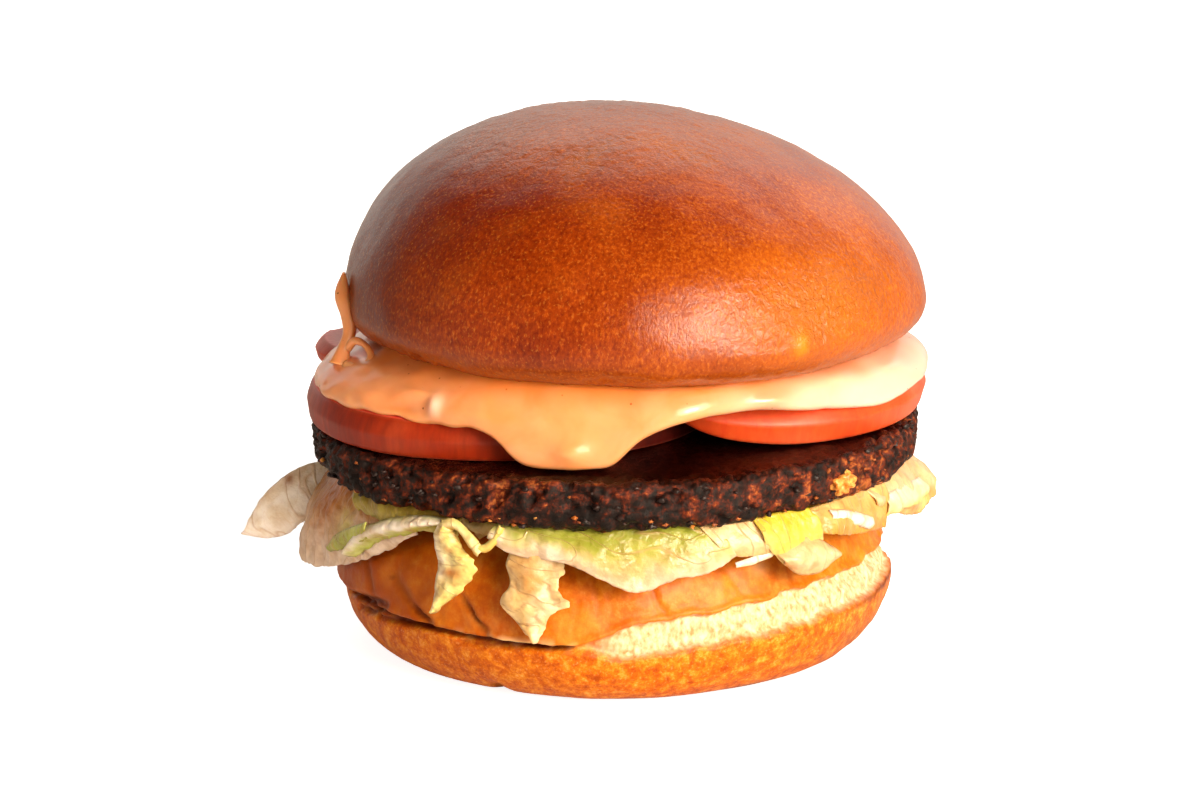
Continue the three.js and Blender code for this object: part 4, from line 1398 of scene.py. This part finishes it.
def draped_leaf(
    name, root, hem, tints, bulge=1.5, ruffle=0.6, fray=0.5, curl=0.0, crumple=0.0,
    long_veins=False, spots=(), seed=1.0,
):
    """A leaf between two curves; spots are (across, along, size in mm, colour)."""
    root = [Vector(point) for point in root]
    hem = [Vector(point) for point in hem]
    width = max(curve_length(root), curve_length(hem))
    shares = (0.1, 0.3, 0.5, 0.7, 0.9)
    drop = sum((through(hem, share) - through(root, share)).length for share in shares) / len(shares)
    bm = leaf_grid(width, drop, 17 * seed, long_veins)
    tinted = []
    for vert in bm.verts:
        across, along = vert.co.x + 0.5, vert.co.y + 0.5
        start, end = through(root, across), through(hem, across)
        middle = mix(start, end, 0.5)
        outward = Vector((middle.x, middle.y, 0)).normalized()
        torn = fray * (
            grain(end, 2.6, seed) + 0.7 * grain(end, 1.1, seed + 4) + 0.4 * grain(end, 0.6, seed + 8) - 0.2
        )
        torn -= fray * ease(grain(end, 2.6, seed + 6), 0.2, 0.5)
        reach = along * (1 + max(-0.6, torn / max(drop, 1)) * along ** 3)
        arch = math.sin(math.pi * min(1, along * (1 - 0.25 * curl)))
        spot = mix(start, end, reach) + outward * bulge * arch
        tangent = (through(hem, min(1, across + 0.02)) - through(hem, max(0, across - 0.02))).normalized()
        ragged = grain(spot, 1.8, seed + 9) - 0.3 * ease(grain(spot, 1.4, seed), 0.2, 0.4)
        edge = abs(2 * across - 1) ** 6 * math.copysign(1, across - 0.5)
        spot += tangent * edge * fray * ragged
        crest = 0.25 + 0.75 * along
        wavy = ruffle * crest * grain(spot, 6, seed + 2) * 1.6
        wavy += 0.5 * ruffle * crest * grain(spot, 2.4, seed + 5)
        wavy += crumple * (billow(spot, 3.4, seed + 8) + 0.6 * billow(spot, 1.7, seed + 3) - 0.35)
        wavy += 0.18 * grain(spot, 1.1, seed + 7)
        spot += (outward + Vector((0, 0, 0.3))).normalized() * wavy
        spot += outward * curl * ease(along, 0.55, 1.0) ** 2
        vert.co = spot * MM
        drift = 0.18 * grain(spot, 3, seed + 3) + 0.1 * grain(spot, 1.2, seed + 1)
        colour = tint_at_share(tints, along + drift)
        # In the crumple's valleys the leaf turns brown: partly brown creases, partly painted shade.
        valley_brown_and_shade = crumple * (1 - ease(billow(spot, 3.4, seed + 8), 0.0, 0.09))
        colour = colour.lerp(VALLEY_BROWN_AND_SHADE, min(0.6, 0.7 * valley_brown_and_shade))
        for spot_across, spot_along, size, spot_colour in spots:
            away = math.hypot((across - spot_across) * width, (along - spot_along) * drop)
            stain = hump(away + 0.6 * size * grain(spot, 1.5, seed), size)
            colour = colour.lerp(Vector(linear(spot_colour)), 0.85 * stain)
        tinted.append(colour)
    return finish_leaf(name, bm, tinted)


print("a leaf is", LEAF_THICKNESS, "mm thick")

# %% [markdown]
# ### Leaves that show in front
#
# Each leaf here is one that can be told apart in the photograph. Roots and hems are a few
# points each, in mm, read from left to right as the camera sees them.

# %% Leaves in front, left
MAUVE, BEIGE, CREAM, WHITISH = "#e4d2c6", "#ecdccb", "#faf0da", "#fdf8ea"
GREEN, LIME, PALE_LIME, OLIVE = "#b4c04a", "#d3dc7c", "#e8eab0", "#8f7e30"
YELLOW, GOLD, BROWN = "#f2e08a", "#e8be5c", "#9a5418"

draped_leaf(
    "leaf_wing_left",
    [(-48, 4, 31), (-54, 3, 31.6), (-60, 2, 30), (-65, 1, 26.4), (-68.2, 0, 21.6), (-69.2, -1, 18.6)],
    [(-48, -2, 26.5), (-54, -4, 24), (-57, -4, 22.2), (-60.5, -3.5, 19.6), (-65, -2.5, 18), (-69, -1, 18.2)],
    ["#f4e6d8", "#fdf6ee", "#f8ece2"], bulge=0.9, ruffle=0.5, fray=0.25, spots=[(0.44, 0.12, 0.9, BROWN)], seed=1,
)
draped_leaf(
    "leaf_skirt_left",
    [(-52, 5, 31.6), (-50.5, -14, 32.8), (-43.5, -26, 33.2), (-34, -37, 33)],
    [(-58.3, -5, 20.5), (-57.4, -10, 15.6), (-50, -19.5, 17.6), (-42, -30.5, 23.3), (-35, -38.6, 29.3)],
    ["#a05c1c", "#b07840", "#d4b090", "#e4ccb8", "#f0dccb"], bulge=1.8, ruffle=0.7, fray=0.3, crumple=0.25,
    spots=[(0.35, 0.1, 5.5, "#b86a20"), (0.55, 0.5, 3, "#ccc070")], seed=2,
)
draped_leaf(
    "leaf_olive",
    [(-47, -23, 33.6), (-40, -33, 34), (-27, -45, 34)],
    [(-46, -27, 30.2), (-39, -36.4, 29.6), (-27.5, -46, 31)],
    [OLIVE, "#a89a44", "#b8ac58"], bulge=0.8, crumple=0.3, seed=3,
)
draped_leaf(
    "leaf_roll",
    [(-48.4, -24.6, 22.4), (-46, -28.4, 26.8), (-41.4, -34.8, 30.6), (-37.6, -38.6, 32.4),
     (-33.6, -42, 33.5), (-29.6, -44.8, 33.8)],
    [(-47.4, -26.6, 21.4), (-44.6, -30.2, 24.2), (-41.4, -34.6, 27.2), (-37.6, -38.6, 28.9),
     (-33.6, -42, 31), (-30, -44.6, 32.8)],
    [PALE_LIME, CREAM, WHITISH, LIME, GREEN], bulge=1.8, ruffle=0.35, fray=0.35, curl=-0.6, crumple=0.25, seed=4,
)
draped_leaf(
    "leaf_roll_tail",
    [(-52.4, -17, 20.8), (-51, -20.4, 23.6), (-48, -27.2, 27), (-44.4, -32.4, 29.6)],
    [(-52, -18.6, 20.2), (-49.4, -24.6, 22.4), (-46.8, -29.4, 24.8), (-44.2, -33.2, 26.8)],
    [LIME, GREEN, "#a8b43c"], bulge=0.6, ruffle=0.3, fray=0.4, seed=5,
)
draped_leaf(
    "leaf_loop",
    [(-30.6, -45.4, 33.8), (-31.7, -45, 30.2), (-31.1, -45.8, 26.6), (-31.5, -46, 22.8), (-32.3, -45.6, 17.3)],
    [(-29, -46.2, 33.4), (-26.8, -48.4, 29.2), (-24, -49.6, 26.8), (-26.4, -48.8, 22.4), (-31.4, -46, 17.2)],
    [CREAM, "#f6e8a8", YELLOW, "#f0d67c"], bulge=1.1, ruffle=0.9, fray=0.8, crumple=0.7,
    spots=[(0.62, 0.45, 1.5, "#b5651e"), (0.3, 0.5, 1.2, "#c89a5a")], seed=6,
)
draped_leaf(
    "leaf_loop_arch",
    [(-30.4, -45.8, 33.9), (-28, -47.2, 34.4), (-25.2, -48.8, 32.4), (-22.9, -49.8, 29.6)],
    [(-29.4, -46.4, 32.2), (-27.6, -47.4, 32.4), (-26.2, -48.2, 30.8), (-24.2, -49.4, 28.2)],
    [YELLOW, "#f7ecb2", GOLD], bulge=0.8, ruffle=0.3, fray=0.3, crumple=0.3, seed=7,
)
draped_leaf(
    "leaf_loop_thread",
    [(-25.4, -48.6, 31), (-23.2, -49.6, 30.4), (-21.4, -50.2, 32), (-20.2, -50.4, 34.4)],
    [(-25.2, -48.8, 30), (-22.8, -49.8, 29.2), (-20.6, -50.6, 31), (-19.4, -50.6, 33.8)],
    [YELLOW, GOLD], bulge=0.5, ruffle=0.2, fray=0.1, seed=8,
)

# %% Leaves in front, middle
draped_leaf(
    "leaf_crinkled",
    [(-17.6, -49.4, 31), (-19, -50, 27.4), (-18.4, -50.8, 23.6), (-20.2, -50.6, 20.2),
     (-17.6, -51.4, 17.4), (-14.8, -52, 13.8)],
    [(-7.6, -51.8, 31), (-8.6, -52.4, 26.6), (-9.4, -52.6, 23.6), (-7.8, -53, 20.6),
     (-11.6, -52.8, 18.4), (-13.7, -52.2, 13.6)],
    ["#ecd09c", "#e4c080", "#f6e0b8", "#f0d49a"], bulge=1.2, ruffle=1.3, fray=0.65, crumple=0.8,
    spots=[(0.3, 0.5, 2.6, "#cc9450"), (0.12, 0.3, 1.5, "#dcb070")], seed=9,
)
draped_leaf(
    "leaf_green",
    [(-20.6, -48.2, 34.2), (-15, -49.8, 34.6), (-8, -51.2, 34.6), (0, -52, 34.6),
     (9, -51.2, 34.6), (17, -49.2, 33.6)],
    [(-22.4, -49.8, 31.8), (-18, -51.6, 29.3), (-8.5, -54, 28.3), (-3.1, -54.4, 25.8), (3.4, -54.6, 23.2),
     (9, -53.8, 24.9), (16.4, -52, 26.2), (21, -50, 28.6)],
    # The dark green at the root, under the patty's edge, is partly painted shade.
    ["#8a9230", "#989e38", "#acaa4c", "#c6b878", "#e0c49c", "#ecd0b4"],
    bulge=1.4, ruffle=0.9, fray=0.2, crumple=0.12, long_veins=True,
    spots=[(0.05, 0.6, 3.2, "#f6e8d0"), (0.25, 0.8, 3, "#f2e0cc")], seed=10,
)
draped_leaf(
    "leaf_fold",
    [(14.2, -50.4, 34.2), (19, -49, 34.4), (24.6, -46.8, 34.2)],
    [(18.6, -50.6, 29.2), (22.6, -49, 28), (27.6, -46.6, 28.3)],
    ["#dcbc84", "#eccca0", "#dcb47c"], bulge=1.3, ruffle=0.7, fray=0.3, crumple=0.3, seed=11,
)
draped_leaf(
    "leaf_sliver",
    [(27.5, -46.6, 28.7), (24, -48.6, 28), (20.7, -50, 27.3)],
    [(27.4, -46.8, 27.7), (24.2, -48.8, 26.8), (20.9, -50.2, 26.5)],
    [WHITISH, "#f8ecc8"], bulge=0.3, ruffle=0.2, fray=0.2, seed=12,
)

# %% Leaves in front, right
draped_leaf(
    "leaf_yellow",
    [(23.4, -47.4, 34.8), (28.4, -45, 35), (34, -41.4, 34.8)],
    [(25.9, -48.2, 30.2), (28, -47.4, 27.6), (31, -45.8, 25.2), (35, -42.4, 26.4), (36.6, -40.6, 29)],
    ["#d0bc34", "#e0cc54", "#ecd98a"], bulge=1.3, ruffle=0.5, fray=0.25, crumple=0.25, seed=13,
)
draped_leaf(
    "leaf_white_lobe",
    [(27.6, -47, 28.2), (31.6, -45, 30), (34.4, -42.6, 29.8), (38.6, -38.8, 26.8)],
    [(29.2, -46.6, 26.2), (32.2, -45, 23.8), (36, -42.2, 23.2), (39.2, -38.6, 25)],
    ["#dcb880", "#e8c89c", "#deb884"], bulge=1.5, ruffle=0.6, fray=0.15, crumple=0.3, seed=23,
)
draped_leaf(
    "leaf_gold_right",
    [(32.6, -42, 34.4), (40, -34.6, 34.8), (48, -21.6, 34.6)],
    [(35, -42.4, 30.4), (41.4, -36, 28.2), (49, -21.6, 25.6)],
    ["#e4bc78", "#dcac60", "#cc9438"], bulge=1.0, ruffle=0.8, fray=0.3, crumple=0.3, seed=14,
)
draped_leaf(
    "leaf_wing_right",
    [(44, -27, 34.6), (49, -16, 34.8), (52.5, -6, 34.6), (54, 4, 33.8)],
    [(47, -25, 30.4), (51.4, -15, 26.2), (56.8, -5, 23.8), (60, 1, 25.8)],
    ["#e0b884", "#ecc89c", "#e0b06c"], bulge=1.6, ruffle=1.1, fray=0.35, crumple=0.3,
    spots=[(0.75, 0.85, 2.5, "#ecd880")], seed=15,
)
draped_leaf(
    "leaf_strip_right",
    [(37.5, -39.4, 33.8), (41.6, -35.4, 32.6), (46, -29, 29.6)],
    [(37.7, -39.6, 32), (41, -36.2, 30.8), (45.4, -30.2, 27.8)],
    [CREAM, WHITISH], bulge=0.7, ruffle=0.3, fray=0.3, seed=16,
)
draped_leaf(
    "leaf_curl_right",
    [(48.4, -22, 31.6), (53, -12, 31), (56.6, -4, 30.2)],
    [(49, -22.4, 28), (54.2, -12.4, 26.6), (58.6, -4, 27)],
    [CREAM, "#f6e6b4", YELLOW], bulge=0.9, ruffle=0.7, fray=0.3, crumple=0.25, seed=17,
)

# %% [markdown]
# ### Leaves round the back
#
# The back is finished like what shows: leaves of mixed sizes, drawn from one seeded row of
# numbers, which hang over the heel's edge all the way round.

# %% Leaves round the back
LEAF_WRAP_RADIUS = 54
LEAF_ROUNDING = 0.26
BACK_LEAF_COUNT = 7
BACK_TINTS = (
    [GREEN, LIME, CREAM], ["#e6dc9c", CREAM, "#e9d6b0"], [LIME, PALE_LIME, WHITISH], [BEIGE, MAUVE, "#f0e0d4"],
)


def lehmer(seed):
    """A repeatable row of numbers from 0 to 1."""
    factor, modulus = 16807, 2147483647
    state = seed
    while True:
        state = (state * factor) % modulus
        yield state / modulus


def hanging_leaf(name, leaf, tints, seed):
    """A leaf that leaves the stack level and droops over the heel."""
    width, length = leaf["width"], leaf["length"]
    bm = leaf_grid(width, length, 7 * seed)
    start, bend, bank = (math.radians(leaf[key]) for key in ("tilt", "droop", "bank"))
    phase = math.radians(leaf["azimuth"]) * 5
    tinted = []
    for vert in bm.verts:
        across, along = 2 * vert.co.x, vert.co.y + 0.5
        angle = start + bend * along
        reach = length / bend * (math.sin(angle) - math.sin(start))
        drop = length / bend * (math.cos(start) - math.cos(angle))
        half = width / 2 * (1 - (1 - leaf["tip"]) * max(0.0, 2 * along - 1) ** 2)
        edge = across ** 2
        ruffle = 1.1 * along * math.sin(across * width / 7 + phase)
        frill = 0.9 * edge * along * math.sin(length * 0.3 * along + phase)
        rounding = 1 - LEAF_ROUNDING * edge * along
        rounding += 0.06 * along ** 3 * grain(Vector((across * width / 2, 0, 0)), 2.2, seed)
        spot = Vector((across * half, along * length, 0))
        off = ruffle + frill + 0.5 * along * grain(spot, 3, seed) + 0.18 * grain(spot, 1.2, seed + 5)
        off += 0.35 * (billow(spot, 3.4, seed + 8) - 0.25)
        radius = leaf["root"] + reach * rounding + math.sin(angle) * off
        height = leaf["height"] - drop * rounding + math.cos(angle) * off
        azimuth = math.radians(leaf["azimuth"]) + across * half * math.cos(bank) / LEAF_WRAP_RADIUS
        height += across * half * math.sin(bank) * along
        vert.co = Vector((radius * math.cos(azimuth), radius * math.sin(azimuth), height)) * MM
        tinted.append(tint_at_share(tints, along + 0.16 * grain(spot, 3, seed + 3)))
    return finish_leaf(name, bm, tinted)


row = lehmer(97)
for index in range(BACK_LEAF_COUNT):
    large = index % 2 == 0
    leaf = {
        "azimuth": 8 + index * 23.5 + 6 * next(row),
        "root": 41 + 2 * next(row),
        "height": 31.4 + next(row),
        "length": (15 if large else 17) + 6 * next(row),
        "width": (27 if large else 12) + 6 * next(row),
        "tilt": 10 * next(row),
        "droop": 34 + 40 * next(row),
        "bank": 10 * (next(row) - 0.5),
        "tip": 0.45 + 0.4 * next(row),
    }
    hanging_leaf("leaf_back_%d" % (index + 1), leaf, BACK_TINTS[index % len(BACK_TINTS)], 20 + index)

# %% [markdown]
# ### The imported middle
#
# Between heel and patty the lettuce is pressed together. Only its crumpled edge shows in the
# gaps, so it is one turned body with deep folds.

# %% Lettuce core
BED_RADIUS = 46
BED_TOP = 34.2
BED_BOTTOM = HEEL_HEIGHT - 0.4
BED_SECTORS = 300
BED_TINTS = (OLIVE, "#b8a850", "#d8c888", "#c89a4a")


def bed_place(place):
    """The pressed heap's uneven outline and the stack's tilt."""
    azimuth = azimuth_of(place)
    uneven = 1 + 0.03 * wave(6 * azimuth) + 0.02 * wave(11 * azimuth + 50)
    return Vector((place.x * uneven, place.y * uneven, place.z + STACK_SLOPE * place.x))


def bed_relief(place):
    """Deep folds between pressed leaves."""
    side = ease(radius_of(place), 38, 44)
    layers = abs(grain(Vector((place.x, place.y, 3.2 * place.z)), 6, 4))
    return side * (1.6 - 4.5 * layers + 0.5 * grain(place, 2, 6))


bed_side = (BED_RADIUS, mix(BED_BOTTOM, BED_TOP, 0.5))
bed_profile = (
    rings(0, 40, BED_BOTTOM, 8)
    + quarter_out((40, BED_BOTTOM), bed_side, 10)
    + quarter_in(bed_side, (40, BED_TOP), 10)[1:-1]
    + rings(40, 0, BED_TOP, 8)
    + [(0, BED_TOP)]
)
bm = turned(bed_profile, BED_SECTORS)
reshape(bm, bed_place)
push_out(bm, bed_relief)
uv = bm.loops.layers.uv.new("leaf_mm")
tint = bm.verts.layers.float_color.new("tint")
for vert in bm.verts:
    vert[tint] = tint_at_share(BED_TINTS, 0.5 + 0.7 * grain(vert.co / MM, 7, 2))
for face in bm.faces:
    for corner in face.loops:
        place = corner.vert.co / MM
        corner[uv].uv = (math.radians(azimuth_of(place)) * BED_RADIUS, place.z)
finish_piece("lettuce_core", bm, leaf_material, "lettuce", "shredded_lettuce")

# %% Sizes and finish
low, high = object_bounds()
print("visual size in mm:", [round(1000 * (b - a), 1) for a, b in zip(low, high)])
